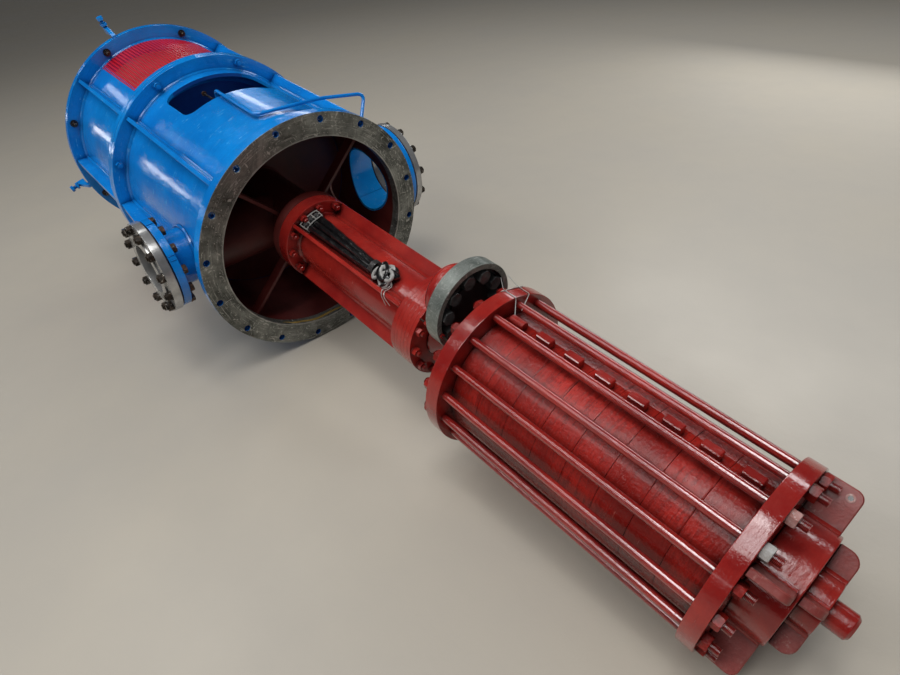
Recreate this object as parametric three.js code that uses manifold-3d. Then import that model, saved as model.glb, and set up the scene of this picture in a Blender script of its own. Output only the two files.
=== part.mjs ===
// Vertical canned pump, lying on its side for delivery: a blue fabricated head
// with its motor stool, and a red pump end with eight stages, which hangs in
// its barrel once the pump is stood up.
//
// Millimetres. Every piece is drawn on the pump's own axis first: x runs from
// the face of the barrel flange towards the suction end, and an angle about the
// axis starts at +y and turns up through +z, so 90 is the top and 180 the side
// of the discharge nozzle. At the end the whole pump is laid on the ground.

import * as THREE from 'three';
import { mergeVertices } from 'three/addons/utils/BufferGeometryUtils.js';
import Module from 'manifold-3d';

const wasm = await Module();
wasm.setup();

// Gap left where two pieces meet, and flats on round pieces

const SEAT = 0.3;
const SHELL_SIDES = 36;
const PIPE_SIDES = 20;
const STAGE_SIDES = 24;
const ROD_SIDES = 6;

// Head: motor flange, motor stool, the bolted joint and the head's shell

const MOTOR_FLANGE = { back: -1425, front: -1398, outer: 515, bore: 400 };
const JACKING = { angle: 105, back: -1490, foot: 505, clear: 519, top: 565, thickness: 18, screw: 9, reach: 598 };
const STOOL = { outer: 453, inner: 439, ribReach: 506, ribAngles: [0, 45, 135, 180, 270] };
const TOP_WINDOW = { angle: 90, back: -1385, front: -885, corner: 25, width: 453 };
const LEFT_WINDOW = { angle: 213, back: -1385, front: -885, corner: 25, width: 396 };
const RIGHT_WINDOW = { angle: 327, back: -1385, front: -885, corner: 25, width: 396 };
const STOOL_WINDOWS = { top_guard: TOP_WINDOW, left_guard: LEFT_WINDOW, right_guard: RIGHT_WINDOW };
const GUARD = { thickness: 3, overlap: 12, pitch: 42, opening: 25 };
const JOINT_FLANGE = { back: -868, middle: -841.5, front: -815, outer: 510, bore: 400 };
const HEAD = { outer: 450, inner: 436, ribReach: 499, ribAngles: [45, 135, 225, 315] };
const HEAD_WINDOW = { angle: 90, back: -745, front: -515, corner: 50, width: 380 };
const BARREL_FLANGE = { back: -45, front: 0, outer: 500, bore: 410 };
const BARREL_HOLES = { count: 16, circle: 474, radius: 13 };
const RIB_THICKNESS = 16;

// Nozzles, both on one line across the head

const NOZZLE_X = -260;
const DISCHARGE = { angle: 180, outer: 110, bore: 98, flange: 177, back: 529, face: 560 };
const DISCHARGE_COMPANION = { outer: 182, step: 140, face: 598.5, stepFace: 606, bore: 98 };
const SUCTION = { angle: 0, outer: 150, bore: 141, flange: 208, back: 529, face: 556 };
const SUCTION_COMPANION = { outer: 208, step: 172, face: 590, stepFace: 596, bore: 141 };

// Inside the head: seal plate, shaft, discharge bend and the column's seat

const SEAL_PLATE = { front: -485, back: -515, housingBack: -610, housing: 125, glandBack: -640, gland: 75 };
const SHAFT = { radius: 32, back: -800 };
const SEAT_HUB = { back: -145, flangeBack: -76, front: -33, flange: 166, pipe: 120, bore: 100 };
const SEAT_RIBS = { back: -145, front: -100, angles: [45, 135, 225, 315], thickness: 14 };
const BEND = { radius: 120, bore: 98 };

// Column between the head and the pump end

const COLUMN_FLANGE = { back: -33, front: 28, radius: 166 };
const COLUMN = { radius: 110, front: 690, finReach: 165, finThickness: 14, finAngles: [45, 135, 225, 315] };
const COLUMN_FOOT = { front: 791, radius: 165, grooveRadius: 159, grooves: [722, 756], groove: 4 };

// Neck to the bowls, with the branch beside it

const NECK = { front: 993, wide: 100, narrow: 56, narrowBack: 835, narrowFront: 955 };
const BRANCH = { angle: 96, offset: 205, back: 800, radius: 98, arm: 58, armX: 845 };
const BRANCH_FLANGE = { back: 888, front: 940, outer: 146, bore: 60, recess: 128, recessBack: 912 };

// Bowls: two rings, sixteen tie rods and eight stages

const TOP_RING = { back: 993, front: 1043, outer: 269 };
const BOTTOM_RING = { back: 1865, front: 1912, outer: 269 };
const ROD = { count: 16, first: 8.5, circle: 242, radius: 12, hole: 12.4, back: 962, front: 1957 };
const NUT = { acrossFlats: 36, height: 21 };
const STAGES = { count: 8, radius: 211, edge: 4, lugAngle: 88, lugLength: 60, lugWidth: 42, lugReach: 240 };

// Suction end

const SUCTION_DRUM = { front: 2006, radius: 155, plateReach: 262, corner: 24 };
const BEARING = { front: 2066, radius: 73, plateReach: 141, corner: 30 };
const SUCTION_PLATES = { angles: [45, 135, 225, 315], thickness: 22 };
const SHAFT_END = { front: 2128, radius: 34, chamfer: 8 };

// Vent tube over the head, and the cables tied to the column

const VENT = { radius: 7, bend: 32, steps: 36 };
const CABLES = { back: 40, front: 470, height: 120.4, radius: 10.5, from: [119, 100], to: [113, 102] };
const CABLE_LOOPS = { x: 528, angle: 108, radius: 46, bottom: 109.2, thickness: 24 };

// The ground touches the barrel flange's face and the bottom ring's outer face

const LYING_ANGLE = Math.atan((BARREL_FLANGE.outer - BOTTOM_RING.outer) / BOTTOM_RING.front);

const bluePaint = new THREE.MeshStandardMaterial({ color: 0x1478d2, roughness: 0.25, metalness: 0.1 });
const redOxide = new THREE.MeshStandardMaterial({ color: 0x96281e, roughness: 0.35, metalness: 0.1 });
const redMesh = new THREE.MeshStandardMaterial({ color: 0xc01a22, roughness: 0.5, metalness: 0.1 });
const rawSteel = new THREE.MeshStandardMaterial({ color: 0x6f706b, roughness: 0.5, metalness: 0.7 });
const turnedSteel = new THREE.MeshStandardMaterial({ color: 0xb9bcbe, roughness: 0.25, metalness: 0.9 });
const blackSleeve = new THREE.MeshStandardMaterial({ color: 0x15151a, roughness: 0.6, metalness: 0.0 });

const degrees = THREE.MathUtils.degToRad;

// A closed solid from a geometry: shared corners merged, faces pointing out

function solidOf(geometry) {
  const bare = new THREE.BufferGeometry();
  bare.setAttribute('position', geometry.getAttribute('position').clone());
  if (geometry.index) {
    bare.setIndex(geometry.index.clone());
  }
  const merged = mergeVertices(bare, 1e-3);
  const corners = merged.getAttribute('position');
  const source = merged.index.array;
  const triangles = [];
  for (let i = 0; i < source.length; i += 3) {
    const [a, b, c] = source.subarray(i, i + 3);
    if (a !== b && b !== c && c !== a) {
      triangles.push(a, b, c);
    }
  }
  const [a, b, c] = [new THREE.Vector3(), new THREE.Vector3(), new THREE.Vector3()];
  let volume = 0;
  for (let i = 0; i < triangles.length; i += 3) {
    a.fromBufferAttribute(corners, triangles[i]);
    b.fromBufferAttribute(corners, triangles[i + 1]);
    c.fromBufferAttribute(corners, triangles[i + 2]);
    volume += a.dot(b.cross(c));
  }
  if (volume < 0) {
    triangles.reverse();
  }
  const mesh = new wasm.Mesh({
    numProp: 3,
    vertProperties: new Float32Array(corners.array),
    triVerts: new Uint32Array(triangles),
  });
  return new wasm.Manifold(mesh);
}

function geometryOf(solid) {
  const mesh = solid.getMesh();
  const geometry = new THREE.BufferGeometry();
  geometry.setAttribute('position', new THREE.BufferAttribute(mesh.vertProperties, 3));
  geometry.setIndex(new THREE.BufferAttribute(mesh.triVerts, 1));
  geometry.computeVertexNormals();
  return geometry;
}

function fuse(...geometries) {
  return geometryOf(geometries.map(solidOf).reduce((whole, next) => whole.add(next)));
}

function cut(geometry, ...tools) {
  return geometryOf(tools.map(solidOf).reduce((rest, tool) => rest.subtract(tool), solidOf(geometry)));
}

function shared(geometry, other) {
  return geometryOf(solidOf(geometry).intersect(solidOf(other)));
}

// A round piece on the pump's axis, from corners [x, radius]. It is turned by
// half a step, so that a flat and not an edge is at the bottom.

function turned(corners, sides) {
  const outline = corners.map(([x, radius]) => new THREE.Vector2(radius, x));
  if (THREE.ShapeUtils.area(outline) < 0) {
    outline.reverse();
  }
  if (outline[0].x > 0 || outline[outline.length - 1].x > 0) {
    outline.push(outline[0].clone());
  }
  const geometry = new THREE.LatheGeometry(outline, sides, Math.PI / sides);
  return geometry.rotateZ(-Math.PI / 2);
}

function disc(back, front, radius, sides) {
  return turned([[back, 0], [back, radius], [front, radius], [front, 0]], sides);
}

function ring(back, front, outer, inner, sides) {
  return turned([[back, inner], [back, outer], [front, outer], [front, inner]], sides);
}

// Radius of a many-sided ring whose flats, not its corners, lie on the circle

function flatsOn(radius, sides) {
  return radius / Math.cos(Math.PI / sides);
}

// A straight bar along x whose axis lies at a radius and an angle

function bar(back, front, radius, sides, axisRadius = 0, angle = 0) {
  const geometry = disc(back, front, radius, sides);
  geometry.translate(0, axisRadius, 0);
  return geometry.rotateX(degrees(angle));
}

function hexagon(back, height, circle, angle) {
  const corner = NUT.acrossFlats / Math.sqrt(3);
  return bar(back, back + height, corner, 6, circle, angle);
}

// A flat plate that stands on the axis, from an outline of x and radius

function plate(outline, thickness, angle) {
  const shape = outline instanceof THREE.Shape ? outline : polygon(outline);
  const geometry = new THREE.ExtrudeGeometry(shape, { depth: thickness, bevelEnabled: false, curveSegments: 4 });
  geometry.translate(0, 0, -thickness / 2);
  return geometry.rotateX(degrees(angle));
}

function polygon(corners) {
  return new THREE.Shape(corners.map(([x, y]) => new THREE.Vector2(x, y)));
}

function rectangle(left, right, bottom, top) {
  return [[left, bottom], [right, bottom], [right, top], [left, top]];
}

// The outline of a plate with its far corner rounded

function finOutline(back, front, foot, reach, corner) {
  const shape = new THREE.Shape();
  shape.moveTo(back, foot);
  shape.lineTo(front, foot);
  shape.lineTo(front, reach - corner);
  shape.absarc(front - corner, reach - corner, corner, 0, Math.PI / 2, false);
  shape.lineTo(back, reach);
  shape.closePath();
  return shape;
}

// A block with rounded corners that reaches out through a shell at a window

function windowBlock(opening, margin, low, high) {
  const left = opening.back - margin;
  const right = opening.front + margin;
  const half = opening.width / 2 + margin;
  const corner = opening.corner;
  const shape = new THREE.Shape();
  shape.moveTo(left + corner, -half);
  shape.absarc(right - corner, -half + corner, corner, -Math.PI / 2, 0, false);
  shape.absarc(right - corner, half - corner, corner, 0, Math.PI / 2, false);
  shape.absarc(left + corner, half - corner, corner, Math.PI / 2, Math.PI, false);
  shape.absarc(left + corner, -half + corner, corner, Math.PI, Math.PI * 1.5, false);
  const geometry = new THREE.ExtrudeGeometry(shape, { depth: high - low, bevelEnabled: false, curveSegments: 3 });
  geometry.translate(0, 0, low);
  return geometry.rotateX(degrees(opening.angle - 90));
}

// A round piece on a nozzle's line, from corners [distance, radius]

function onNozzle(corners, angle, sides = PIPE_SIDES) {
  const geometry = turned(corners, sides);
  geometry.rotateZ(degrees(90 + angle));
  return geometry.translate(NOZZLE_X, 0, 0);
}

// A tube through points, with its corners rounded

function tubeThrough(points, radius, bend, steps) {
  const path = new THREE.CurvePath();
  let last = points[0];
  for (let i = 1; i < points.length - 1; i += 1) {
    const before = points[i - 1].clone().sub(points[i]);
    const after = points[i + 1].clone().sub(points[i]);
    const reach = Math.min(bend, before.length() / 2, after.length() / 2);
    const enter = points[i].clone().addScaledVector(before.normalize(), reach);
    const leave = points[i].clone().addScaledVector(after.normalize(), reach);
    path.add(new THREE.LineCurve3(last, enter));
    path.add(new THREE.QuadraticBezierCurve3(enter, points[i], leave));
    last = leave;
  }
  path.add(new THREE.LineCurve3(last, points[points.length - 1]));
  const section = new THREE.Shape();
  section.absarc(0, 0, radius, 0, Math.PI * 2, false);
  return new THREE.ExtrudeGeometry(section, { steps, extrudePath: path, curveSegments: 4, bevelEnabled: false });
}

// The pump, which every piece joins on its own axis

const pump = new THREE.Group();

function addPiece(name, geometry, material) {
  const mesh = new THREE.Mesh(geometry, material);
  mesh.name = name;
  pump.add(mesh);
}

// Motor flange with its four jacking brackets

function jackingBracket(angle) {
  const { back, foot, clear, top, thickness, screw, reach } = JACKING;
  const arm = plate([
    [MOTOR_FLANGE.front, foot],
    [MOTOR_FLANGE.front, foot + 20],
    [back, top],
    [back, clear],
    [MOTOR_FLANGE.back, clear],
    [MOTOR_FLANGE.back, foot],
  ], thickness, angle);
  const bolt = new THREE.CylinderGeometry(screw, screw, reach - clear, ROD_SIDES);
  bolt.translate(back + 22, (reach + clear) / 2, 0);
  bolt.rotateX(degrees(angle));
  return fuse(arm, bolt);
}

function motorFlange() {
  const { back, front, outer, bore } = MOTOR_FLANGE;
  const pieces = [ring(back, front, outer, bore, SHELL_SIDES)];
  for (let i = 0; i < 4; i += 1) {
    pieces.push(jackingBracket(JACKING.angle + 90 * i));
  }
  return fuse(...pieces);
}

// Motor stool: a rolled shell with three windows and its welded ribs

const stoolBack = MOTOR_FLANGE.front + SEAT;
const stoolFront = JOINT_FLANGE.back - SEAT;

function motorStool() {
  const shell = ring(stoolBack, stoolFront, STOOL.outer, STOOL.inner, SHELL_SIDES);
  const windows = Object.values(STOOL_WINDOWS).map((opening) => windowBlock(opening, 0, 300, 600));
  const ribs = STOOL.ribAngles.map(
    (angle) => plate(rectangle(stoolBack, stoolFront, STOOL.inner + 4, STOOL.ribReach), RIB_THICKNESS, angle),
  );
  return fuse(cut(shell, ...windows), ...ribs);
}

// Places along a line, from its middle to both sides, as many as fit at the guards' pitch

function gridPlaces(length) {
  const count = Math.floor(length / GUARD.pitch);
  return Array.from({ length: count }, (_, index) => (index - (count - 1) / 2) * GUARD.pitch);
}

// A guard is a bent sheet with a plain grid of square openings

function windowGuard(opening) {
  const inner = STOOL.outer + SEAT;
  const outer = inner + GUARD.thickness;
  const sheet = shared(ring(stoolBack, stoolFront, outer, inner, SHELL_SIDES),
    windowBlock(opening, GUARD.overlap, 200, 600));
  const middle = (opening.back + opening.front) / 2;
  const arc = 2 * STOOL.outer * Math.asin(opening.width / 2 / STOOL.outer);
  const half = GUARD.opening / 2;
  const openings = [];
  for (const around of gridPlaces(arc)) {
    const angle = opening.angle + THREE.MathUtils.radToDeg(around / STOOL.outer);
    for (const along of gridPlaces(opening.front - opening.back)) {
      const x = middle + along;
      openings.push(plate(rectangle(x - half, x + half, inner - 20, outer + 20), GUARD.opening, angle));
    }
  }
  return cut(sheet, ...openings);
}

addPiece('motor_flange', motorFlange(), bluePaint);
addPiece('motor_stool', motorStool(), bluePaint);
for (const [name, opening] of Object.entries(STOOL_WINDOWS)) {
  addPiece(name, windowGuard(opening), redMesh);
}

// The bolted joint between the stool and the head

const { back: jointBack, middle: jointMiddle, front: jointFront } = JOINT_FLANGE;
addPiece('stool_foot_flange',
  ring(jointBack, jointMiddle - SEAT, JOINT_FLANGE.outer, JOINT_FLANGE.bore, SHELL_SIDES), bluePaint);
addPiece('head_top_flange',
  ring(jointMiddle, jointFront, JOINT_FLANGE.outer, JOINT_FLANGE.bore, SHELL_SIDES), bluePaint);

// Head shell: window, ribs, the two nozzle holes and the plates to the nozzles

const headBack = JOINT_FLANGE.front + SEAT;
const headFront = BARREL_FLANGE.back - SEAT;

function nozzlePlate(nozzle) {
  const outline = [
    [headBack, HEAD.inner + 4],
    [headBack, HEAD.ribReach + 5],
    [NOZZLE_X - nozzle.flange, nozzle.back - SEAT],
    [NOZZLE_X - nozzle.outer - SEAT, nozzle.back - SEAT],
    [NOZZLE_X - nozzle.outer - SEAT, HEAD.inner + 4],
  ];
  return plate(outline, RIB_THICKNESS, nozzle.angle);
}

function nozzleHole(nozzle) {
  const radius = nozzle.outer + SEAT;
  return onNozzle([[300, 0], [300, radius], [700, radius], [700, 0]], nozzle.angle);
}

function headShell() {
  const shell = cut(
    ring(headBack, headFront, HEAD.outer, HEAD.inner, SHELL_SIDES),
    windowBlock(HEAD_WINDOW, 0, 300, 600),
    nozzleHole(DISCHARGE),
    nozzleHole(SUCTION),
  );
  const ribs = HEAD.ribAngles.map(
    (angle) => plate(rectangle(headBack, headFront, HEAD.inner + 4, HEAD.ribReach), RIB_THICKNESS, angle),
  );
  return fuse(shell, ...ribs, nozzlePlate(DISCHARGE), nozzlePlate(SUCTION));
}

function barrelFlange() {
  const { back, front, outer, bore } = BARREL_FLANGE;
  const holes = [];
  for (let i = 0; i < BARREL_HOLES.count; i += 1) {
    const angle = (i + 0.5) * 360 / BARREL_HOLES.count;
    holes.push(bar(back - 10, front + 10, BARREL_HOLES.radius, ROD_SIDES, BARREL_HOLES.circle, angle));
  }
  return cut(ring(back, front, flatsOn(outer, SHELL_SIDES), bore, SHELL_SIDES), ...holes);
}

addPiece('head_shell', headShell(), bluePaint);
addPiece('barrel_flange', barrelFlange(), rawSteel);

// Nozzles: a neck that passes through the shell, and its bolted companion

function nozzleFlange(nozzle) {
  const whole = onNozzle([
    [300, nozzle.bore],
    [300, nozzle.outer],
    [nozzle.back, nozzle.outer],
    [nozzle.back, nozzle.flange],
    [nozzle.face, nozzle.flange],
    [nozzle.face, nozzle.bore],
  ], nozzle.angle);
  return cut(whole, disc(headBack, headFront, HEAD.inner, SHELL_SIDES));
}

function companionFlange(nozzle, companion) {
  return onNozzle([
    [nozzle.face + SEAT, companion.bore],
    [nozzle.face + SEAT, companion.outer],
    [companion.face, companion.outer],
    [companion.face, companion.step],
    [companion.stepFace, companion.step],
    [companion.stepFace, companion.bore],
  ], nozzle.angle);
}

addPiece('discharge_flange', nozzleFlange(DISCHARGE), bluePaint);
addPiece('discharge_companion_flange', companionFlange(DISCHARGE, DISCHARGE_COMPANION), turnedSteel);
addPiece('suction_flange', nozzleFlange(SUCTION), bluePaint);
addPiece('suction_companion_flange', companionFlange(SUCTION, SUCTION_COMPANION), turnedSteel);

// Inside the head

const innerReach = HEAD.inner - 2;

function sealPlate() {
  const { front, back, housingBack, housing, glandBack, gland } = SEAL_PLATE;
  return turned([
    [glandBack, 0],
    [glandBack, gland],
    [housingBack, gland],
    [housingBack, housing],
    [back, housing],
    [back, innerReach],
    [front, innerReach],
    [front, 0],
  ], SHELL_SIDES);
}

function columnSeat() {
  const hub = turned([
    [SEAT_HUB.back, SEAT_HUB.bore],
    [SEAT_HUB.back, SEAT_HUB.pipe],
    [SEAT_HUB.flangeBack, SEAT_HUB.pipe],
    [SEAT_HUB.flangeBack, SEAT_HUB.flange],
    [SEAT_HUB.front - SEAT, SEAT_HUB.flange],
    [SEAT_HUB.front - SEAT, SEAT_HUB.bore],
  ], PIPE_SIDES);
  const ribs = SEAT_RIBS.angles.map(
    (angle) => plate(rectangle(SEAT_RIBS.back, SEAT_RIBS.front, SEAT_HUB.pipe - 8, innerReach),
      SEAT_RIBS.thickness, angle),
  );
  return fuse(hub, ...ribs);
}

function dischargeBend() {
  const riser = disc(SEAL_PLATE.front + SEAT, SEAT_HUB.back - SEAT, BEND.radius, PIPE_SIDES);
  const branch = onNozzle([[0, 0], [0, DISCHARGE.outer], [500, DISCHARGE.outer], [500, 0]], DISCHARGE.angle);
  const bore = onNozzle([[0, 0], [0, BEND.bore], [500, BEND.bore], [500, 0]], DISCHARGE.angle);
  const room = disc(headBack, headFront, HEAD.inner - SEAT, SHELL_SIDES);
  return shared(cut(fuse(riser, branch), bore), room);
}

addPiece('seal_plate', sealPlate(), bluePaint);
addPiece('pump_shaft', disc(SHAFT.back, SEAL_PLATE.glandBack - SEAT, SHAFT.radius, PIPE_SIDES), turnedSteel);
addPiece('discharge_bend', dischargeBend(), redOxide);
addPiece('column_seat', columnSeat(), redOxide);

// Vent tube: out of the window, along the head, across it and to the flange

const ventPoints = [
  new THREE.Vector3(SEAL_PLATE.back - SEAT, -50, 400),
  new THREE.Vector3(-550, -50, 400),
  new THREE.Vector3(-552, -57, 463),
  new THREE.Vector3(-205, -63, 465),
  new THREE.Vector3(-175, 200, 462),
  new THREE.Vector3(-118, 372, 450),
  new THREE.Vector3(-84, 322, 367),
  new THREE.Vector3(BARREL_FLANGE.back - SEAT, 322, 367),
];
addPiece('vent_tube', tubeThrough(ventPoints, VENT.radius, VENT.bend, VENT.steps), bluePaint);

// Column: top flange, finned pipe and the stack of flanges at its foot

function columnPipe() {
  const back = COLUMN_FLANGE.front + SEAT;
  const front = COLUMN.front - SEAT;
  const fins = COLUMN.finAngles.map(
    (angle) => plate(rectangle(back, front, COLUMN.radius - 8, COLUMN.finReach), COLUMN.finThickness, angle),
  );
  return fuse(disc(back, front, COLUMN.radius, PIPE_SIDES), ...fins);
}

function columnFoot() {
  const { front, radius, grooveRadius, grooves, groove } = COLUMN_FOOT;
  const corners = [[COLUMN.front, 0], [COLUMN.front, radius]];
  for (const x of grooves) {
    corners.push([x, radius], [x, grooveRadius], [x + groove, grooveRadius], [x + groove, radius]);
  }
  corners.push([front, radius], [front, 0]);
  return turned(corners, STAGE_SIDES);
}

addPiece('column_top_flange',
  disc(COLUMN_FLANGE.back, COLUMN_FLANGE.front, COLUMN_FLANGE.radius, STAGE_SIDES), redOxide);
addPiece('column_pipe', columnPipe(), redOxide);
addPiece('column_foot_flange', columnFoot(), redOxide);

// Neck with its branch, and the steel flange on the branch

function bowlNeck() {
  const neck = turned([
    [COLUMN_FOOT.front + SEAT, 0],
    [COLUMN_FOOT.front + SEAT, NECK.wide],
    [NECK.narrowBack, NECK.narrow],
    [NECK.narrowFront, NECK.narrow],
    [NECK.front - SEAT, NECK.wide],
    [NECK.front - SEAT, 0],
  ], PIPE_SIDES);
  const face = BRANCH_FLANGE.back - SEAT;
  const { back, radius, offset, angle, arm, armX } = BRANCH;
  const elbow = turned([
    [back, 0],
    [back + 3, radius * 0.46],
    [back + 12, radius * 0.72],
    [back + 30, radius * 0.92],
    [back + 50, radius],
    [face, radius],
    [face, 0],
  ], PIPE_SIDES);
  elbow.translate(0, offset, 0);
  elbow.rotateX(degrees(angle));
  const across = new THREE.CylinderGeometry(arm, arm, offset, PIPE_SIDES);
  across.translate(armX, offset / 2, 0);
  across.rotateX(degrees(angle));
  const room = disc(COLUMN_FOOT.front + SEAT, face, 400, PIPE_SIDES);
  return fuse(neck, shared(fuse(elbow, across), room));
}

function branchFlange() {
  const { back, front, outer, bore, recess, recessBack } = BRANCH_FLANGE;
  const flange = turned([
    [back, bore],
    [back, outer],
    [front, outer],
    [front, recess],
    [recessBack, recess],
    [recessBack, bore],
  ], PIPE_SIDES);
  flange.translate(0, BRANCH.offset, 0);
  return flange.rotateX(degrees(BRANCH.angle));
}

addPiece('bowl_neck', bowlNeck(), redOxide);
addPiece('branch_flange', branchFlange(), rawSteel);

// Bowls between their two rings

function rodAngle(index) {
  return ROD.first + index * 360 / ROD.count;
}

function rodRing(size) {
  const outer = flatsOn(size.outer, SHELL_SIDES);
  const holes = [];
  for (let i = 0; i < ROD.count; i += 1) {
    holes.push(bar(size.back - 10, size.front + 10, ROD.hole, ROD_SIDES, ROD.circle, rodAngle(i)));
  }
  return cut(disc(size.back, size.front, outer, SHELL_SIDES), ...holes);
}

function tieRod(index) {
  const angle = rodAngle(index);
  return fuse(
    bar(ROD.back, ROD.front, ROD.radius, ROD_SIDES, ROD.circle, angle),
    hexagon(TOP_RING.back - SEAT - NUT.height, NUT.height, ROD.circle, angle),
    hexagon(BOTTOM_RING.front + SEAT, NUT.height, ROD.circle, angle),
  );
}

function stage(index) {
  const length = (BOTTOM_RING.back - TOP_RING.front) / STAGES.count;
  const back = TOP_RING.front + length * index + SEAT;
  const front = back + length - SEAT * (index === STAGES.count - 1 ? 2 : 1);
  const { radius, edge, lugAngle, lugLength, lugWidth, lugReach } = STAGES;
  const casing = turned([
    [back, 0],
    [back, radius - edge],
    [back + edge, radius],
    [front, radius],
    [front, 0],
  ], STAGE_SIDES);
  const middle = (back + front) / 2;
  const foot = radius - 12;
  const lug = plate(rectangle(middle - lugLength / 2, middle + lugLength / 2, foot, lugReach), lugWidth, lugAngle);
  return fuse(casing, lug);
}

addPiece('bowl_top_ring', rodRing(TOP_RING), redOxide);
for (let i = 0; i < STAGES.count; i += 1) {
  addPiece(`stage_${i + 1}`, stage(i), redOxide);
}
addPiece('bowl_bottom_ring', rodRing(BOTTOM_RING), redOxide);
for (let i = 0; i < ROD.count; i += 1) {
  addPiece(`tie_rod_${i + 1}`, tieRod(i), redOxide);
}

// Suction end: drum, bearing housing, their plates and the end of the shaft

function platedDrum(back, size) {
  const front = size.front - SEAT;
  const plates = SUCTION_PLATES.angles.map(
    (angle) => plate(finOutline(back, front, size.radius - 20, size.plateReach, size.corner),
      SUCTION_PLATES.thickness, angle),
  );
  return fuse(disc(back, front, size.radius, PIPE_SIDES), ...plates);
}

function shaftEnd() {
  const { front, radius, chamfer } = SHAFT_END;
  return turned([
    [BEARING.front, 0],
    [BEARING.front, radius],
    [front - chamfer, radius],
    [front, radius - chamfer],
    [front, 0],
  ], PIPE_SIDES);
}

addPiece('suction_casing', platedDrum(BOTTOM_RING.front + SEAT, SUCTION_DRUM), redOxide);
addPiece('bearing_housing', platedDrum(SUCTION_DRUM.front, BEARING), redOxide);
addPiece('shaft_end', shaftEnd(), redOxide);

// Cables tied along the top of the column, and their knot of loops

function onColumn(x, radius, angle) {
  return new THREE.Vector3(x, radius * Math.cos(degrees(angle)), radius * Math.sin(degrees(angle)));
}

function cable(index) {
  const { back, front, height, radius, from, to } = CABLES;
  const path = new THREE.LineCurve3(onColumn(back, height, from[index]), onColumn(front, height, to[index]));
  const section = new THREE.Shape();
  section.absarc(0, 0, radius, 0, Math.PI * 2, false);
  return new THREE.ExtrudeGeometry(section, { steps: 1, extrudePath: path, curveSegments: 4, bevelEnabled: false });
}

function cableLoops() {
  const { x, angle, radius, bottom, thickness } = CABLE_LOOPS;
  const coil = new THREE.CylinderGeometry(radius, radius, thickness, 16);
  coil.translate(x, bottom + thickness / 2, 0);
  return coil.rotateX(degrees(angle));
}

addPiece('cable_left', cable(0), blackSleeve);
addPiece('cable_right', cable(1), blackSleeve);
addPiece('cable_loops', cableLoops(), blackSleeve);

// Laid on the ground, with the middle of its outline at the origin

const lying = new THREE.Group();
lying.add(pump);
pump.rotation.y = LYING_ANGLE;
lying.updateMatrixWorld(true);
const box = new THREE.Box3().setFromObject(lying, true);
const middle = box.getCenter(new THREE.Vector3());
pump.position.set(-middle.x, -middle.y, -box.min.z);

export default lying;
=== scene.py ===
"""Looks of a vertical canned pump that lies on the floor, a blue head with a red pump end.

Every piece is drawn in millimetres on the pump's own axis: x runs from the face of the
barrel flange towards the suction end, and an angle about the axis starts at +y and turns
up through +z, so 90 is the top and 180 the side of the discharge nozzle. When a piece is
done, its mesh is laid down as the pump lies, in metres.
"""

from __future__ import annotations

import logging
import math
from dataclasses import dataclass, field, replace
from enum import Enum
from typing import Any, Callable, Iterable, Iterator, Sequence

import bmesh
import bpy
from bmesh.types import BMesh, BMFace
from mathutils import Euler, Matrix, Vector

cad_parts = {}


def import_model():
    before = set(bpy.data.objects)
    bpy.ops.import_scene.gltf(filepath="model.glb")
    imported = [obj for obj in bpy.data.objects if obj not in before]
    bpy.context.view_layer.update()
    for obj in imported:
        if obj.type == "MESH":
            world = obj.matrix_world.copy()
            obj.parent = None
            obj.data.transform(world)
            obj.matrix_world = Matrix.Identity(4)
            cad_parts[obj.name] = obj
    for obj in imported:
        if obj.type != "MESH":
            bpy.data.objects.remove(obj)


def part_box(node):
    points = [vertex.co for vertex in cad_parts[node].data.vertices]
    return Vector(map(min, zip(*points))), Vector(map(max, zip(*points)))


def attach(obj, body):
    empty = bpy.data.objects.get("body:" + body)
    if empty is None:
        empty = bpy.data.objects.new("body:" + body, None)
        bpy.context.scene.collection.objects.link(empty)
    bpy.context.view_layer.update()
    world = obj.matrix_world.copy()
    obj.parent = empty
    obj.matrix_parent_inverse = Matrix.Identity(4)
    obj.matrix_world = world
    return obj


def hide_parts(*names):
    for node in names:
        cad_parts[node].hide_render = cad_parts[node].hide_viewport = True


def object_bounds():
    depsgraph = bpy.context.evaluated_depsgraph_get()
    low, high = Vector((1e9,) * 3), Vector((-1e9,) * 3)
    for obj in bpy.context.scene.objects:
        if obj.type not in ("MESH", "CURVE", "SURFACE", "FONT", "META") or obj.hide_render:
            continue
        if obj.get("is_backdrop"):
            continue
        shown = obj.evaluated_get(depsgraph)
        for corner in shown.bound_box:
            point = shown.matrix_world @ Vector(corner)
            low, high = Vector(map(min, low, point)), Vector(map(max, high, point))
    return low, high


LOG = logging.getLogger("pump")
MM = 0.001
FULL_TURN = math.tau
HALF_TURN = math.pi
QUARTER_TURN = math.pi / 2
STAY = Matrix.Identity(4)
BACKWARDS = Matrix.Rotation(HALF_TURN, 4, "Z")
UPRIGHT = Matrix.Rotation(QUARTER_TURN, 4, "Z")
# Angles between faces: smooth shading below the first, a bevel from the second on
SMOOTH_BELOW = math.radians(32)
SHARP_FROM = math.radians(40)
# Millimetres: corners that merge, edges that vanish, and corners that count as on the axis
DOUBLES = 1e-3
NO_LENGTH = 1e-4
ON_AXIS = 1e-6
# Millimetres that a weld's foot lies inside the wall
WALL_DEPTH = 3.0
# Shares of a nut's width and of a thread's pitch
NUT_CHAMFER = 0.1
THREAD_DEPTH = 0.45
# Sides of a hole in the guards' mesh
HOLE_SIDES = 8

Outline = Sequence[tuple[float, float]]
Colour = tuple[float, float, float]
Point = tuple[float, float, float]


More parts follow.
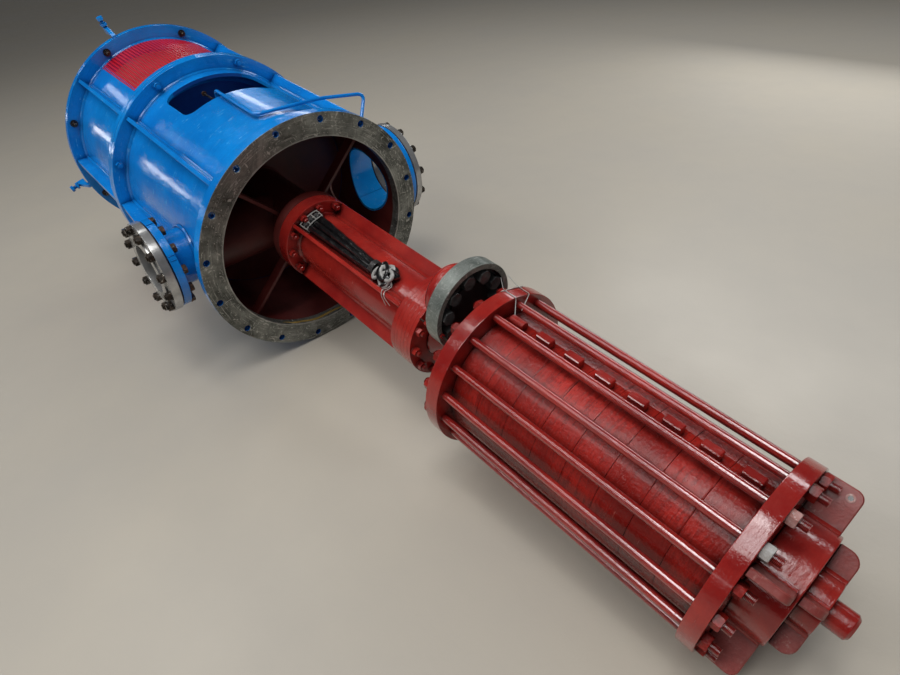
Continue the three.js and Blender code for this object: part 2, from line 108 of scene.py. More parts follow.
class Slot(Enum):
    """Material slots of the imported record."""

    BLUE = "blue_paint"
    RED = "red_oxide"
    MESH = "red_mesh"
    RAW = "raw_steel"
    TURNED = "turned_steel"
    SLEEVE = "black_sleeve"


# Placing


def around(angle: float) -> Matrix:
    """A turn about the pump's axis, in degrees."""
    return Matrix.Rotation(math.radians(angle), 4, "X")


def at(x: float, radius: float = 0.0, angle: float = 0.0) -> Matrix:
    """A place on the pump's axis, or beside it at a radius and an angle."""
    return around(angle) @ Matrix.Translation((x, radius, 0.0))


def on_circle(count: int, x: float, radius: float, first: float = 0.0) -> Iterator[Matrix]:
    """Places evenly round the axis.

    Args:
        count: How many there are.
        x: Where the circle lies on the axis.
        radius: The circle's radius.
        first: Angle of the first one, in degrees.

    Returns:
        One matrix for each place.
    """
    for index in range(count):
        yield at(x, radius, first + 360.0 * index / count)


def polar(x: float, radius: float, angle: float) -> Vector:
    """A point beside the pump's axis."""
    turn = math.radians(angle)
    return Vector((x, radius * math.cos(turn), radius * math.sin(turn)))


@dataclass(frozen=True)
class Lay:
    """How the pump lies: the matrix from its own axis, in mm, to the frame, in metres."""

    matrix: Matrix

    @classmethod
    def from_frame(cls) -> Lay:
        """Reads the axis from the middles of the barrel flange and the bottom ring.

        Returns:
            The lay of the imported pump.
        """
        flange = sum(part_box("barrel_flange"), Vector()) / 2
        ring = sum(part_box("bowl_bottom_ring"), Vector()) / 2
        along = (ring - flange).normalized()
        across = Vector((0.0, 1.0, 0.0))
        up = along.cross(across)
        origin = flange - along * ((BarrelFlange.back + BarrelFlange.front) / 2 * MM)
        turn = Matrix((along, across, up)).transposed().to_4x4()
        return cls(Matrix.Translation(origin) @ turn @ Matrix.Scale(MM, 4))


# Solids


def recalculated(solid: BMesh) -> BMesh:
    """Merges doubles, drops faces without area and points the rest outwards.

    Args:
        solid: The solid, which is changed.

    Returns:
        The same solid.
    """
    bmesh.ops.remove_doubles(solid, verts=solid.verts[:], dist=DOUBLES)
    bmesh.ops.dissolve_degenerate(solid, edges=solid.edges[:], dist=NO_LENGTH)
    bmesh.ops.recalc_face_normals(solid, faces=solid.faces[:])
    return solid


def turned(outline: Outline, steps: int = 96, rounding: float = 0.0, segments: int = 2) -> BMesh:
    """A solid of revolution about the x axis.

    Args:
        outline: Corners as x and radius, on the axis or closing on themselves.
        steps: Flats round the piece.
        rounding: Radius on the corners that are off the axis.
        segments: Flats in each rounded corner.

    Returns:
        The closed solid.
    """
    solid = bmesh.new()
    corners = [solid.verts.new((x, radius, 0.0)) for x, radius in outline]
    solid.faces.new(corners)
    if rounding:
        rounded = [corner for corner in corners if corner.co.y > rounding]
        bmesh.ops.bevel(solid, geom=rounded, offset=rounding, offset_type="OFFSET", segments=segments,
                        profile=0.5, affect="VERTICES", material=-1, clamp_overlap=True)
    bmesh.ops.delete(solid, geom=solid.faces[:], context="FACES_ONLY")
    on_axis = [edge for edge in solid.edges if all(abs(end.co.y) < ON_AXIS for end in edge.verts)]
    bmesh.ops.delete(solid, geom=on_axis, context="EDGES")
    bmesh.ops.spin(solid, geom=solid.verts[:] + solid.edges[:], axis=(1, 0, 0), cent=(0, 0, 0),
                   angle=FULL_TURN, steps=steps, use_merge=True)
    return recalculated(solid)


def ring(back: float, front: float, outer: float, inner: float, steps: int = 96,
         rounding: float = 0.0) -> BMesh:
    """A flat ring or a short tube on the x axis."""
    return turned([(back, inner), (back, outer), (front, outer), (front, inner)], steps, rounding)


def bar(back: float, front: float, radius: float, steps: int = 24, rounding: float = 0.0) -> BMesh:
    """A round bar on the x axis."""
    return turned([(back, 0), (back, radius), (front, radius), (front, 0)], steps, rounding)


def threaded(back: float, front: float, radius: float, pitch: float = 3.0, steps: int = 12) -> BMesh:
    """A threaded bar, its thread drawn as rings with a V between them.

    Args:
        back: Where the thread starts.
        front: Where it ends.
        radius: Outer radius of the thread.
        pitch: Distance from ring to ring.
        steps: Flats round the bar.

    Returns:
        The closed solid.
    """
    depth = pitch * THREAD_DEPTH
    outline: list[tuple[float, float]] = [(back, 0)]
    for turn in range(max(1, round((front - back) / pitch))):
        x = back + turn * pitch
        outline += [(x, radius - depth), (x + pitch * 0.4, radius), (x + pitch * 0.6, radius)]
    outline += [(front, radius - depth), (front, 0)]
    return turned(outline, steps)


def hexagon(across_flats: float, height: float) -> BMesh:
    """A nut or a bolt head that stands on the x axis, with its corners taken off at both ends.

    Args:
        across_flats: Its size.
        height: Its height.

    Returns:
        The closed solid.
    """
    solid = bmesh.new()
    corner = across_flats / math.sqrt(3)
    bmesh.ops.create_cone(solid, cap_ends=True, segments=6, radius1=corner, radius2=corner, depth=height)
    bmesh.ops.rotate(solid, verts=solid.verts[:], cent=(0, 0, 0),
                     matrix=Matrix.Rotation(QUARTER_TURN, 3, "Y"))
    bmesh.ops.translate(solid, verts=solid.verts[:], vec=(height / 2, 0, 0))
    bmesh.ops.bevel(solid, geom=solid.verts[:], offset=across_flats * NUT_CHAMFER, segments=1, profile=0.5,
                    affect="VERTICES", material=-1)
    return recalculated(solid)


def prism(outline: Outline, depth: float, rounding: dict[int, float] | None = None, edge: float = 0.0,
          segments: int = 6) -> BMesh:
    """A flat piece of even thickness, from an outline in x and y, its thickness centred on z.

    Args:
        outline: Corners of the piece.
        depth: Its thickness.
        rounding: Radius of each corner that is rounded, by its number in the outline.
        edge: Bevel on all the edges of the finished piece.
        segments: Flats in a rounded corner.

    Returns:
        The closed solid.
    """
    solid = bmesh.new()
    corners = [solid.verts.new((x, y, -depth / 2)) for x, y in outline]
    solid.faces.new(corners)
    for index, radius in (rounding or {}).items():
        bmesh.ops.bevel(solid, geom=[corners[index]], offset=radius, segments=segments, profile=0.5,
                        affect="VERTICES", material=-1)
    grown = bmesh.ops.extrude_face_region(solid, geom=solid.faces[:])
    moved = [item for item in grown["geom"] if isinstance(item, bmesh.types.BMVert)]
    bmesh.ops.translate(solid, verts=moved, vec=(0, 0, depth))
    recalculated(solid)
    if edge:
        sharp = [side for side in solid.edges if side.is_manifold and side.calc_face_angle() > SHARP_FROM]
        bmesh.ops.bevel(solid, geom=sharp, offset=edge, segments=1, profile=0.5, affect="EDGES", material=-1)
    return solid


def block(back: float, front: float, low: float, high: float, width: float, edge: float = 0.0) -> BMesh:
    """A square block that stands out from the axis along y."""
    return prism([(back, low), (front, low), (front, high), (back, high)], width, edge=edge)


def fillet(back: float, front: float, radius: float, side: float, size: float) -> BMesh:
    """A straight weld along x, in the corner between a shell and the side of a rib.

    Args:
        back: Where the weld starts.
        front: Where it ends.
        radius: Radius of the shell.
        side: Distance of the rib's side from the rib's middle, with its sign.
        size: Leg of the weld.

    Returns:
        The closed solid.
    """
    away = math.copysign(size, side)
    solid = bmesh.new()
    foot = [(radius - WALL_DEPTH, side), (radius + size, side), (radius + size * 0.3, side + away * 0.7),
            (radius - WALL_DEPTH, side + away)]
    corners = [solid.verts.new((back, y, z)) for y, z in foot]
    solid.faces.new(corners)
    grown = bmesh.ops.extrude_face_region(solid, geom=solid.faces[:])
    moved = [item for item in grown["geom"] if isinstance(item, bmesh.types.BMVert)]
    bmesh.ops.translate(solid, verts=moved, vec=(front - back, 0, 0))
    return recalculated(solid)


def weld_ring(x: float, radius: float, size: float, away: float, steps: int = 96) -> BMesh:
    """A weld round a shell where it meets a flange.

    Args:
        x: The flange's face.
        radius: Radius of the shell.
        size: Leg of the weld.
        away: 1 where the shell runs on towards +x, and -1 where it runs back.
        steps: Flats round the weld.

    Returns:
        The closed solid.
    """
    low = radius - 2
    outline = [(x - away, low), (x - away, radius + size), (x + away * size * 0.35, radius + size * 0.8),
               (x + away * size * 0.8, radius + size * 0.35), (x + away * size, low)]
    return turned(outline, steps)


def rounded_route(points: Sequence[Vector], bend: float, steps: int = 6) -> list[Vector]:
    """A route through points with its corners rounded.

    Args:
        points: The corners of the route.
        bend: How far from each corner the bend starts.
        steps: Pieces in each bend.

    Returns:
        The points of the rounded route.
    """
    route = [points[0]]
    for before, corner, after in zip(points, points[1:], points[2:]):
        reach = min(bend, (before - corner).length / 2, (after - corner).length / 2)
        start = corner + (before - corner).normalized() * reach
        end = corner + (after - corner).normalized() * reach
        for step in range(steps + 1):
            share = step / steps
            route.append(start.lerp(corner, share).lerp(corner.lerp(end, share), share))
    route.append(points[-1])
    return route


def tube(route: Sequence[Vector], radius: float, sides: int = 12, closed: bool = False,
         swell: Callable[[float], float] | None = None) -> BMesh:
    """A round tube along a route.

    Args:
        route: Points of its centreline.
        radius: Its radius.
        sides: Flats round it.
        closed: Whether the route closes on itself.
        swell: Radius as a share of the first, for each share of the route.

    Returns:
        The closed solid.
    """
    curve = bpy.data.curves.new("route", "CURVE")
    curve.dimensions = "3D"
    curve.bevel_depth = radius
    curve.bevel_resolution = sides // 4 - 1
    curve.use_fill_caps = not closed
    spline = curve.splines.new("POLY")
    spline.points.add(len(route) - 1)
    spline.use_cyclic_u = closed
    for index, (point, place) in enumerate(zip(spline.points, route)):
        point.co = (*place, 1.0)
        point.radius = swell(index / (len(route) - 1)) if swell else 1.0
    holder = bpy.data.objects.new("route", curve)
    solid = bmesh.new()
    solid.from_mesh(holder.to_mesh())
    holder.to_mesh_clear()
    bpy.data.objects.remove(holder)
    bpy.data.curves.remove(curve)
    return recalculated(solid)


def as_object(solid: BMesh, name: str) -> bpy.types.Object:
    """Turns a solid into an object of the scene, and frees the solid.

    Args:
        solid: The solid, which is used up.
        name: Name of the object and its mesh.

    Returns:
        The new object.
    """
    mesh = bpy.data.meshes.new(name)
    solid.to_mesh(mesh)
    solid.free()
    made = bpy.data.objects.new(name, mesh)
    bpy.context.collection.objects.link(made)
    return made


def carved(solid: BMesh, cutters: Iterable[tuple[BMesh, Matrix]]) -> BMesh:
    """A solid with others taken out of it.

    Args:
        solid: What is cut.
        cutters: The solids that cut, each with its place.

    Returns:
        The rest, as a closed solid.
    """
    tool = bmesh.new()
    for cutter, place in cutters:
        append(tool, cutter, place)
    body = as_object(solid, "carved")
    knife = as_object(tool, "knife")
    cut = body.modifiers.new("cut", "BOOLEAN")
    cut.object = knife
    cut.operation = "DIFFERENCE"
    cut.solver = "EXACT"
    graph = bpy.context.evaluated_depsgraph_get()
    rest = bmesh.new()
    rest.from_mesh(body.evaluated_get(graph).to_mesh())
    for done in (body, knife):
        mesh = done.data
        bpy.data.objects.remove(done)
        bpy.data.meshes.remove(mesh)
    bmesh.ops.remove_doubles(rest, verts=rest.verts[:], dist=DOUBLES)
    return rest


def append(target: BMesh, solid: BMesh, place: Matrix = STAY) -> None:
    """Adds a solid to another bmesh at a place, and frees it.

    Args:
        target: What it is added to.
        solid: The solid, which is used up.
        place: Where it goes.
    """
    bmesh.ops.transform(solid, matrix=place, verts=solid.verts[:])
    mesh = bpy.data.meshes.new("solid")
    solid.to_mesh(mesh)
    solid.free()
    target.from_mesh(mesh)
    bpy.data.meshes.remove(mesh)


# Finishes


class Recipe:
    """The node tree of one material, with short calls for the nodes that it uses."""

    def __init__(self, name: str, lay: Lay) -> None:
        """Starts a material that holds one shader.

        Args:
            name: The material's name.
            lay: How the pump lies, for marks that run round it.
        """
        self.lay = lay
        self.material = bpy.data.materials.new(name)
        self.material.use_nodes = True
        self.nodes = self.material.node_tree.nodes
        self.links = self.material.node_tree.links
        self.shader = self.nodes["Principled BSDF"]
        self.place = self.nodes.new("ShaderNodeTexCoord").outputs["Object"]

    def set(self, **values: float | Colour) -> None:
        """Sets sockets of the shader to constants.

        Args:
            values: Each socket's value, by a name whose underscores stand for spaces.
        """
        for name, value in values.items():
            socket = self.shader.inputs[name.replace("_", " ")]
            socket.default_value = (*value, 1.0) if isinstance(value, tuple) else value

    def feed(self, source: bpy.types.NodeSocket, socket: str) -> None:
        """Links a socket of the tree to one of the shader's."""
        self.links.new(source, self.shader.inputs[socket])

    def moved(self, shift: Vector, turn: Euler = Euler()) -> Any:
        """Object coordinates about another point, then turned.

        Args:
            shift: The point that becomes the middle, in metres.
            turn: Turn about each axis.

        Returns:
            The socket of the coordinates.
        """
        centre = self.nodes.new("ShaderNodeVectorMath")
        centre.operation = "SUBTRACT"
        self.links.new(self.place, centre.inputs[0])
        centre.inputs[1].default_value = shift
        mapping = self.nodes.new("ShaderNodeMapping")
        self.links.new(centre.outputs["Vector"], mapping.inputs["Vector"])
        mapping.inputs["Rotation"].default_value = turn
        return mapping.outputs["Vector"]

    def round_the_pump(self, along: float, about: float, out: float) -> Any:
        """Coordinates that run round the pump, with their seam at its bottom.

        Args:
            along: Cells in a metre along the axis.
            about: Cells in a radian round it.
            out: Cells in a metre away from it.

        Returns:
            The socket of the coordinates.
        """
        turn = self.lay.matrix.to_3x3().normalized().inverted().to_euler()
        split = self.nodes.new("ShaderNodeSeparateXYZ")
        self.links.new(self.moved(self.lay.matrix.translation, turn), split.inputs["Vector"])
        x, y, z = (split.outputs[axis] for axis in "XYZ")
        radius = self.times(self.times(self.times(y, y), self.times(z, z), "ADD"), 0.5, "POWER")
        angle = self.times(y, z, "ARCTAN2")
        joined = self.nodes.new("ShaderNodeCombineXYZ")
        for source, scale, axis in ((x, along, "X"), (angle, about, "Y"), (radius, out, "Z")):
            self.links.new(self.times(source, scale), joined.inputs[axis])
        return joined.outputs["Vector"]

    def strokes(self, fine: float = 150.0, long: float = 3.5) -> Any:
        """Noise drawn out round the pump, as a brush or a lathe leaves it."""
        return self.noise(1.0, 4.0, 0.62, place=self.round_the_pump(fine, long, fine))

    def facing_up(self) -> Any:
        """How far a face looks up.

        Returns:
            The socket, 1 where a face looks up and 0 where it doesn't.
        """
        geometry = self.nodes.new("ShaderNodeNewGeometry")
        split = self.nodes.new("ShaderNodeSeparateXYZ")
        self.links.new(geometry.outputs["Normal"], split.inputs["Vector"])
        return self.spread(split.outputs["Z"], 0.2, 0.95)

    def noise(self, scale: float, detail: float = 4.0, rough: float = 0.55, place: Any = None,
              twist: float = 0.0) -> Any:
        """Noise from 0 to 1 on the object's own coordinates.

        Args:
            scale: Blotches in a metre, roughly.
            detail: Octaves.
            rough: How strong the finer octaves are.
            place: Coordinates other than the object's own.
            twist: Distortion of the blotches.

        Returns:
            The socket of the noise.
        """
        node = self.nodes.new("ShaderNodeTexNoise")
        self.links.new(place or self.place, node.inputs["Vector"])
        values = {"Scale": scale, "Detail": detail, "Roughness": rough, "Distortion": twist}
        for name, value in values.items():
            node.inputs[name].default_value = value
        return node.outputs["Fac"]

    def spread(self, source: Any, low: float, high: float, to_low: float = 0.0, to_high: float = 1.0) -> Any:
        """Stretches a range of values onto another, and clamps it there.

        Args:
            source: The values.
            low: Value that becomes to_low.
            high: Value that becomes to_high.
            to_low: Start of the new range.
            to_high: End of the new range.

        Returns:
            The socket of the new values.
        """
        node = self.nodes.new("ShaderNodeMapRange")
        self.links.new(source, node.inputs["Value"])
        values = {"From Min": low, "From Max": high, "To Min": to_low, "To Max": to_high}
        for name, value in values.items():
            node.inputs[name].default_value = value
        return node.outputs["Result"]

    def times(self, first: Any, second: Any, operation: str = "MULTIPLY") -> Any:
        """One value by another, or another sum of two values.

        Args:
            first: A socket or a constant.
            second: A socket or a constant.
            operation: What is done with them.

        Returns:
            The socket of the result.
        """
        node = self.nodes.new("ShaderNodeMath")
        node.operation = operation
        for source, socket in ((first, node.inputs[0]), (second, node.inputs[1])):
            if isinstance(source, float):
                socket.default_value = source
            else:
                self.links.new(source, socket)
        return node.outputs["Value"]

    def blend(self, share: Any, first: Any, second: Any) -> Any:
        """A colour between two, each a socket or a constant.

        Args:
            share: Socket of the second colour's share.
            first: The colour where the share is 0.
            second: The colour where it is 1.

        Returns:
            The socket of the colour.
        """
        node = self.nodes.new("ShaderNodeMix")
        node.data_type = "RGBA"
        self.links.new(share, node.inputs["Factor"])
        for source, socket in zip((first, second), self.coloured(node.inputs)):
            if isinstance(source, tuple):
                socket.default_value = (*source, 1.0)
            else:
                self.links.new(source, socket)
        return self.coloured(node.outputs)[0]

    @staticmethod
    def coloured(sockets: Iterable[bpy.types.NodeSocket]) -> list[bpy.types.NodeSocket]:
        """Those of a node's sockets that hold a colour."""
        return [socket for socket in sockets if socket.type == "RGBA"]

    def corners(self, reach: float) -> Any:
        """How open a place is, for the painted shade in corners.

        Args:
            reach: How far a wall still counts, in metres.

        Returns:
            The socket, 1 in the open and 0 deep in a corner.
        """
        node = self.nodes.new("ShaderNodeAmbientOcclusion")
        node.samples = 6
        node.inputs["Distance"].default_value = reach
        return self.spread(node.outputs["AO"], 0.35, 0.9)

    def bump(self, *layers: tuple[Any, float]) -> None:
        """Adds relief to the shader.

        Args:
            layers: Sockets of heights, each with its depth in metres.
        """
        below = None
        for height, depth in layers:
            node = self.nodes.new("ShaderNodeBump")
            self.links.new(height, node.inputs["Height"])
            node.inputs["Distance"].default_value = depth
            if below:
                self.links.new(below, node.inputs["Normal"])
            below = node.outputs["Normal"]
        self.feed(below, "Normal")


@dataclass(frozen=True)
class Finish:
    """A finish that makes its material once, on first use."""

    name: str

    def material(self, lay: Lay) -> bpy.types.Material:
        """The material of this finish.

        Args:
            lay: How the pump lies.

        Returns:
            The material, made on first use and found by its name afterwards.
        """
        known = bpy.data.materials.get(self.name)
        if known is not None:
            return known
        recipe = Recipe(self.name, lay)
        self.mix(recipe)
        return recipe.material

    def mix(self, recipe: Recipe) -> None:
        """Fills the node tree, which each kind of finish does in its own way."""
        raise NotImplementedError


@dataclass(frozen=True)
class Enamel(Finish):
    """Brushed gloss paint: cloudy colour, brush marks, painted corner shade, rubbed places and dust on top.
    """

    colour: Colour
    deep: Colour
    rubbed: Colour
    # Colour of the painted shade in corners
    corner_shade: Colour
    rubbed_from: float = 0.62
    gloss: tuple[float, float] = (0.12, 0.34)
    coat: float = 0.6
    peel: float = 0.0005
    waves: float = 0.0016
    stroke: float = 0.0005
    # How far a wall reaches for the painted corner shade, in metres
    corner: float = 0.03
    dust: float = 0.0
    mottle: float = 0.35
    bend_of_light: float = 1.5

    def mix(self, recipe: Recipe) -> None:
        """Fills the node tree.

        Args:
            recipe: The material that is filled.
        """
        clouds = recipe.noise(4.0, 5.0, 0.6, twist=0.4)
        specks = recipe.noise(38.0, 8.0, 0.68)
        patches = recipe.noise(7.0, 3.0, 0.5)
        strokes = recipe.strokes()
        base = recipe.blend(recipe.spread(clouds, 0.38, 0.66), self.deep, self.colour)
        brushed = recipe.times(recipe.times(recipe.noise(120.0, 7.0, 0.75), strokes, "ADD"), 0.5)
        base = recipe.blend(recipe.spread(brushed, 0.49, 0.56, 0.0, self.mottle), base, self.deep)
        marks = recipe.times(recipe.times(specks, strokes, "ADD"), 0.5)
        worn = recipe.times(recipe.spread(marks, self.rubbed_from, self.rubbed_from + 0.12),
                            recipe.spread(patches, 0.42, 0.60))
        base = recipe.blend(worn, base, self.rubbed)
        if self.dust:
            settled = recipe.times(recipe.facing_up(), recipe.spread(recipe.noise(11.0, 6.0, 0.7), 0.42, 0.7))
            base = recipe.blend(recipe.times(settled, self.dust), base, self.rubbed)
        # Painted shade: places the occlusion node finds closed in are darkened towards the corner shade
        # colour
        base = recipe.blend(recipe.corners(self.corner), self.corner_shade, base)
        recipe.feed(base, "Base Color")
        dull = recipe.spread(clouds, 0.3, 0.7, self.gloss[0], self.gloss[1])
        recipe.feed(recipe.times(dull, recipe.times(worn, 0.3), "ADD"), "Roughness")
        recipe.set(Coat_Weight=self.coat, Coat_Roughness=0.06, IOR=self.bend_of_light)
        recipe.bump((recipe.noise(130.0, 2.0), self.peel), (strokes, self.stroke),
                    (recipe.noise(17.0, 3.0, 0.5, twist=0.6), self.waves))


@dataclass(frozen=True)
class Primer(Finish):
    """Flat primer inside the head, with dust."""

    colour: Colour
    dust: Colour

    def mix(self, recipe: Recipe) -> None:
        """Fills the node tree.

        Args:
            recipe: The material that is filled.
        """
        clouds = recipe.noise(5.0, 6.0, 0.65)
        recipe.feed(recipe.blend(recipe.spread(clouds, 0.42, 0.74), self.colour, self.dust), "Base Color")
        recipe.feed(recipe.spread(clouds, 0.3, 0.7, 0.34, 0.6), "Roughness")
        recipe.bump((recipe.noise(60.0, 4.0), 0.0006))


@dataclass(frozen=True)
class BareSteel(Finish):
    """Machined steel that has stood about: smears, stains, rust specks, scuffs and cutting marks."""

    bright: Colour
    dull: Colour
    stain: Colour
    stained_from: float = 0.58
    metal: float = 0.75
    rough: tuple[float, float] = (0.3, 0.58)
    scuffs: float = 0.0

    def mix(self, recipe: Recipe) -> None:
        """Fills the node tree.

        Args:
            recipe: The material that is filled.
        """
        smears = recipe.noise(6.0, 7.0, 0.72, twist=1.6)
        flecks = recipe.noise(48.0, 5.0, 0.7)
        stains = recipe.noise(9.0, 6.0, 0.7, twist=0.8)
        base = recipe.blend(recipe.spread(smears, 0.36, 0.66), self.dull, self.bright)
        base = recipe.blend(recipe.spread(flecks, 0.56, 0.78, 0.0, 0.7), base, self.dull)
        if self.scuffs:
            rubs = recipe.spread(recipe.strokes(220.0, 5.0), 0.56, 0.68, 0.0, self.scuffs)
            swirls = recipe.spread(recipe.noise(26.0, 3.0, 0.5, twist=4.0), 0.60, 0.66, 0.0, self.scuffs)
            base = recipe.blend(recipe.times(rubs, swirls, "MAXIMUM"), base, SCUFFED)
        base = recipe.blend(recipe.spread(stains, self.stained_from, self.stained_from + 0.14, 0.0, 0.85),
                            base, self.stain)
        recipe.feed(base, "Base Color")
        recipe.feed(recipe.spread(smears, 0.3, 0.7, self.rough[1], self.rough[0]), "Roughness")
        recipe.set(Metallic=self.metal)
        recipe.bump((flecks, 0.0004), (smears, 0.0006))


@dataclass(frozen=True)
class TurnedSteel(Finish):
    """Bright steel off the lathe, with its rings about a nozzle's line across the pump."""

    colour: Colour
    centre: Vector

    def __hash__(self) -> int:
        """The finish is known by its name."""
        return hash(self.name)

    def mix(self, recipe: Recipe) -> None:
        """Fills the node tree.

        Args:
            recipe: The material that is filled.
        """
        wave = recipe.nodes.new("ShaderNodeTexWave")
        wave.wave_type = "RINGS"
        wave.rings_direction = "Y"
        recipe.links.new(recipe.moved(self.centre), wave.inputs["Vector"])
        wave.inputs["Scale"].default_value = 260.0
        wave.inputs["Distortion"].default_value = 0.6
        clouds = recipe.noise(14.0, 5.0, 0.6)
        shade = tuple(0.55 * part for part in self.colour)
        recipe.feed(recipe.blend(recipe.spread(clouds, 0.35, 0.7), shade, self.colour), "Base Color")
        recipe.feed(recipe.spread(clouds, 0.3, 0.7, 0.3, 0.16), "Roughness")
        recipe.set(Metallic=0.7)
        recipe.bump((wave.outputs["Fac"], 0.00012))


@dataclass(frozen=True)
class Rusty(Finish):
    """Black or rusty bolting, dark with brown and a few bright rubs."""

    colour: Colour
    rust: Colour
    bright: Colour
    metal: float = 0.6

    def mix(self, recipe: Recipe) -> None:
        """Fills the node tree.

        Args:
            recipe: The material that is filled.
        """
        blotches = recipe.noise(70.0, 6.0, 0.7)
        rubs = recipe.noise(110.0, 3.0, 0.6)
        base = recipe.blend(recipe.spread(blotches, 0.42, 0.66), self.colour, self.rust)
        recipe.feed(recipe.blend(recipe.spread(rubs, 0.6, 0.72), base, self.bright), "Base Color")
        recipe.feed(recipe.spread(rubs, 0.35, 0.7, 0.55, 0.28), "Roughness")
        recipe.set(Metallic=self.metal)
        recipe.bump((blotches, 0.0005))


@dataclass(frozen=True)
class Plastic(Finish):
    """Sleeves, cables, gaskets and wire: one colour with a little dust."""

    colour: Colour
    dust: Colour
    rough: float
    metal: float = 0.0
    grain: float = 90.0
    relief: float = 0.0004
    bend_of_light: float = 1.45

    def mix(self, recipe: Recipe) -> None:
        """Fills the node tree.

        Args:
            recipe: The material that is filled.
        """
        dusty = recipe.noise(self.grain, 5.0, 0.65)
        recipe.feed(recipe.blend(recipe.spread(dusty, 0.48, 0.76), self.colour, self.dust), "Base Color")
        recipe.set(Roughness=self.rough, Metallic=self.metal, IOR=self.bend_of_light)
        recipe.bump((dusty, self.relief))


SCUFFED: Colour = (0.50, 0.50, 0.47)
BLUE = Enamel("blue_enamel", (0.005, 0.240, 0.690), (0.004, 0.160, 0.520), (0.11, 0.50, 0.80),
              (0.002, 0.045, 0.21), rubbed_from=0.57, gloss=(0.06, 0.15), coat=0.35, waves=0.0026,
              stroke=0.0009)
RED = Enamel("red_enamel", (0.385, 0.022, 0.014), (0.215, 0.010, 0.009), (0.47, 0.13, 0.10),
             (0.022, 0.002, 0.002), rubbed_from=0.60, gloss=(0.12, 0.30), coat=0.4, stroke=0.0009, dust=0.10)
ROD_RED = Enamel("rod_red_enamel", (0.340, 0.018, 0.012), (0.190, 0.009, 0.008), (0.47, 0.15, 0.12),
                 (0.020, 0.002, 0.002), rubbed_from=0.63, gloss=(0.10, 0.20), coat=0.7, waves=0.0008,
                 bend_of_light=1.75)
DUSTY_RED = Enamel("dusty_red_enamel", (0.420, 0.018, 0.011), (0.175, 0.007, 0.005), (0.42, 0.11, 0.08),
                   (0.012, 0.001, 0.001), rubbed_from=0.60, gloss=(0.20, 0.38), coat=0.1, peel=0.0012,
                   waves=0.0016, stroke=0.0024, dust=0.03, mottle=0.85, bend_of_light=1.37)
PLATE_RED = Enamel("plate_red_enamel", (0.300, 0.048, 0.040), (0.190, 0.026, 0.022), (0.40, 0.22, 0.19),
                   (0.020, 0.003, 0.003), rubbed_from=0.53, gloss=(0.30, 0.50), coat=0.10, dust=0.25,
                   mottle=0.5)
MESH_RED = Enamel("mesh_red_enamel", (0.620, 0.008, 0.028), (0.460, 0.006, 0.018), (0.66, 0.07, 0.08),
                  (0.10, 0.002, 0.004), rubbed_from=0.70, gloss=(0.25, 0.45), coat=0.1, waves=0.0005,
                  corner=0.006)
PRIMER = Primer("inside_primer", (0.060, 0.007, 0.006), (0.12, 0.018, 0.014))
# The blue paint made paler and brighter as painted light, for the suction bore that light reaches from
# outside
LIT_BORE_BLUE = Enamel("bore_blue_enamel", (0.012, 0.400, 0.920), (0.008, 0.300, 0.780), (0.30, 0.66, 0.92),
                   (0.003, 0.09, 0.36), rubbed_from=0.57, gloss=(0.06, 0.15), coat=0.35)
# The blue paint darkened as painted shade, for the insides of the head and stool and what shows through the
# window
SHADED_BLUE = Primer("inside_blue", (0.003, 0.060, 0.300), (0.009, 0.110, 0.450))
FLANGE_STEEL = BareSteel("flange_steel", (0.26, 0.27, 0.25), (0.075, 0.080, 0.072), (0.040, 0.034, 0.024),
                         scuffs=0.8)
LIP_STEEL = BareSteel("lip_steel", (0.46, 0.46, 0.43), (0.24, 0.24, 0.22), (0.13, 0.10, 0.06),
                      stained_from=0.62)
GREY_STEEL = BareSteel("grey_steel", (0.30, 0.325, 0.30), (0.085, 0.100, 0.088), (0.06, 0.058, 0.045),
                       stained_from=0.64, metal=0.5, scuffs=0.4)
BLACK_STEEL = BareSteel("black_steel", (0.13, 0.13, 0.128), (0.030, 0.030, 0.030), (0.03, 0.02, 0.015),
                        stained_from=0.66, metal=0.35, rough=(0.10, 0.22))
BORE_STEEL = BareSteel("bore_steel", (0.30, 0.30, 0.29), (0.10, 0.10, 0.10), (0.05, 0.04, 0.03),
                       stained_from=0.6, metal=0.9, rough=(0.18, 0.36))
RUSTY = Rusty("rusty_bolting", (0.040, 0.030, 0.024), (0.14, 0.060, 0.028), (0.42, 0.38, 0.34))
STUD_STEEL = Rusty("stud_steel", (0.040, 0.036, 0.032), (0.085, 0.062, 0.045), (0.55, 0.53, 0.50), metal=0.85)
PALE_STEEL = Rusty("pale_steel", (0.62, 0.61, 0.59), (0.44, 0.40, 0.36), (0.80, 0.79, 0.77), metal=0.5)
PALE_PAINT = Rusty("pale_worn_paint", (0.42, 0.24, 0.22), (0.30, 0.10, 0.08), (0.66, 0.58, 0.55), metal=0.1)
GASKET = Plastic("gasket", (0.008, 0.008, 0.009), (0.02, 0.02, 0.02), rough=0.6)
SLEEVE = Plastic("black_sleeving", (0.007, 0.007, 0.008), (0.022, 0.021, 0.020), rough=0.16, grain=48.0,
                 relief=0.0007, bend_of_light=2.3)
GREY_LEAD = Plastic("grey_lead", (0.30, 0.295, 0.28), (0.52, 0.51, 0.49), rough=0.28)
ZINC = Plastic("zinc_wire", (0.55, 0.54, 0.51), (0.75, 0.74, 0.71), rough=0.3, metal=0.5)
GREASE = Plastic("grease_line", (0.20, 0.130, 0.030), (0.34, 0.25, 0.09), rough=0.3, grain=30.0)


# Pieces


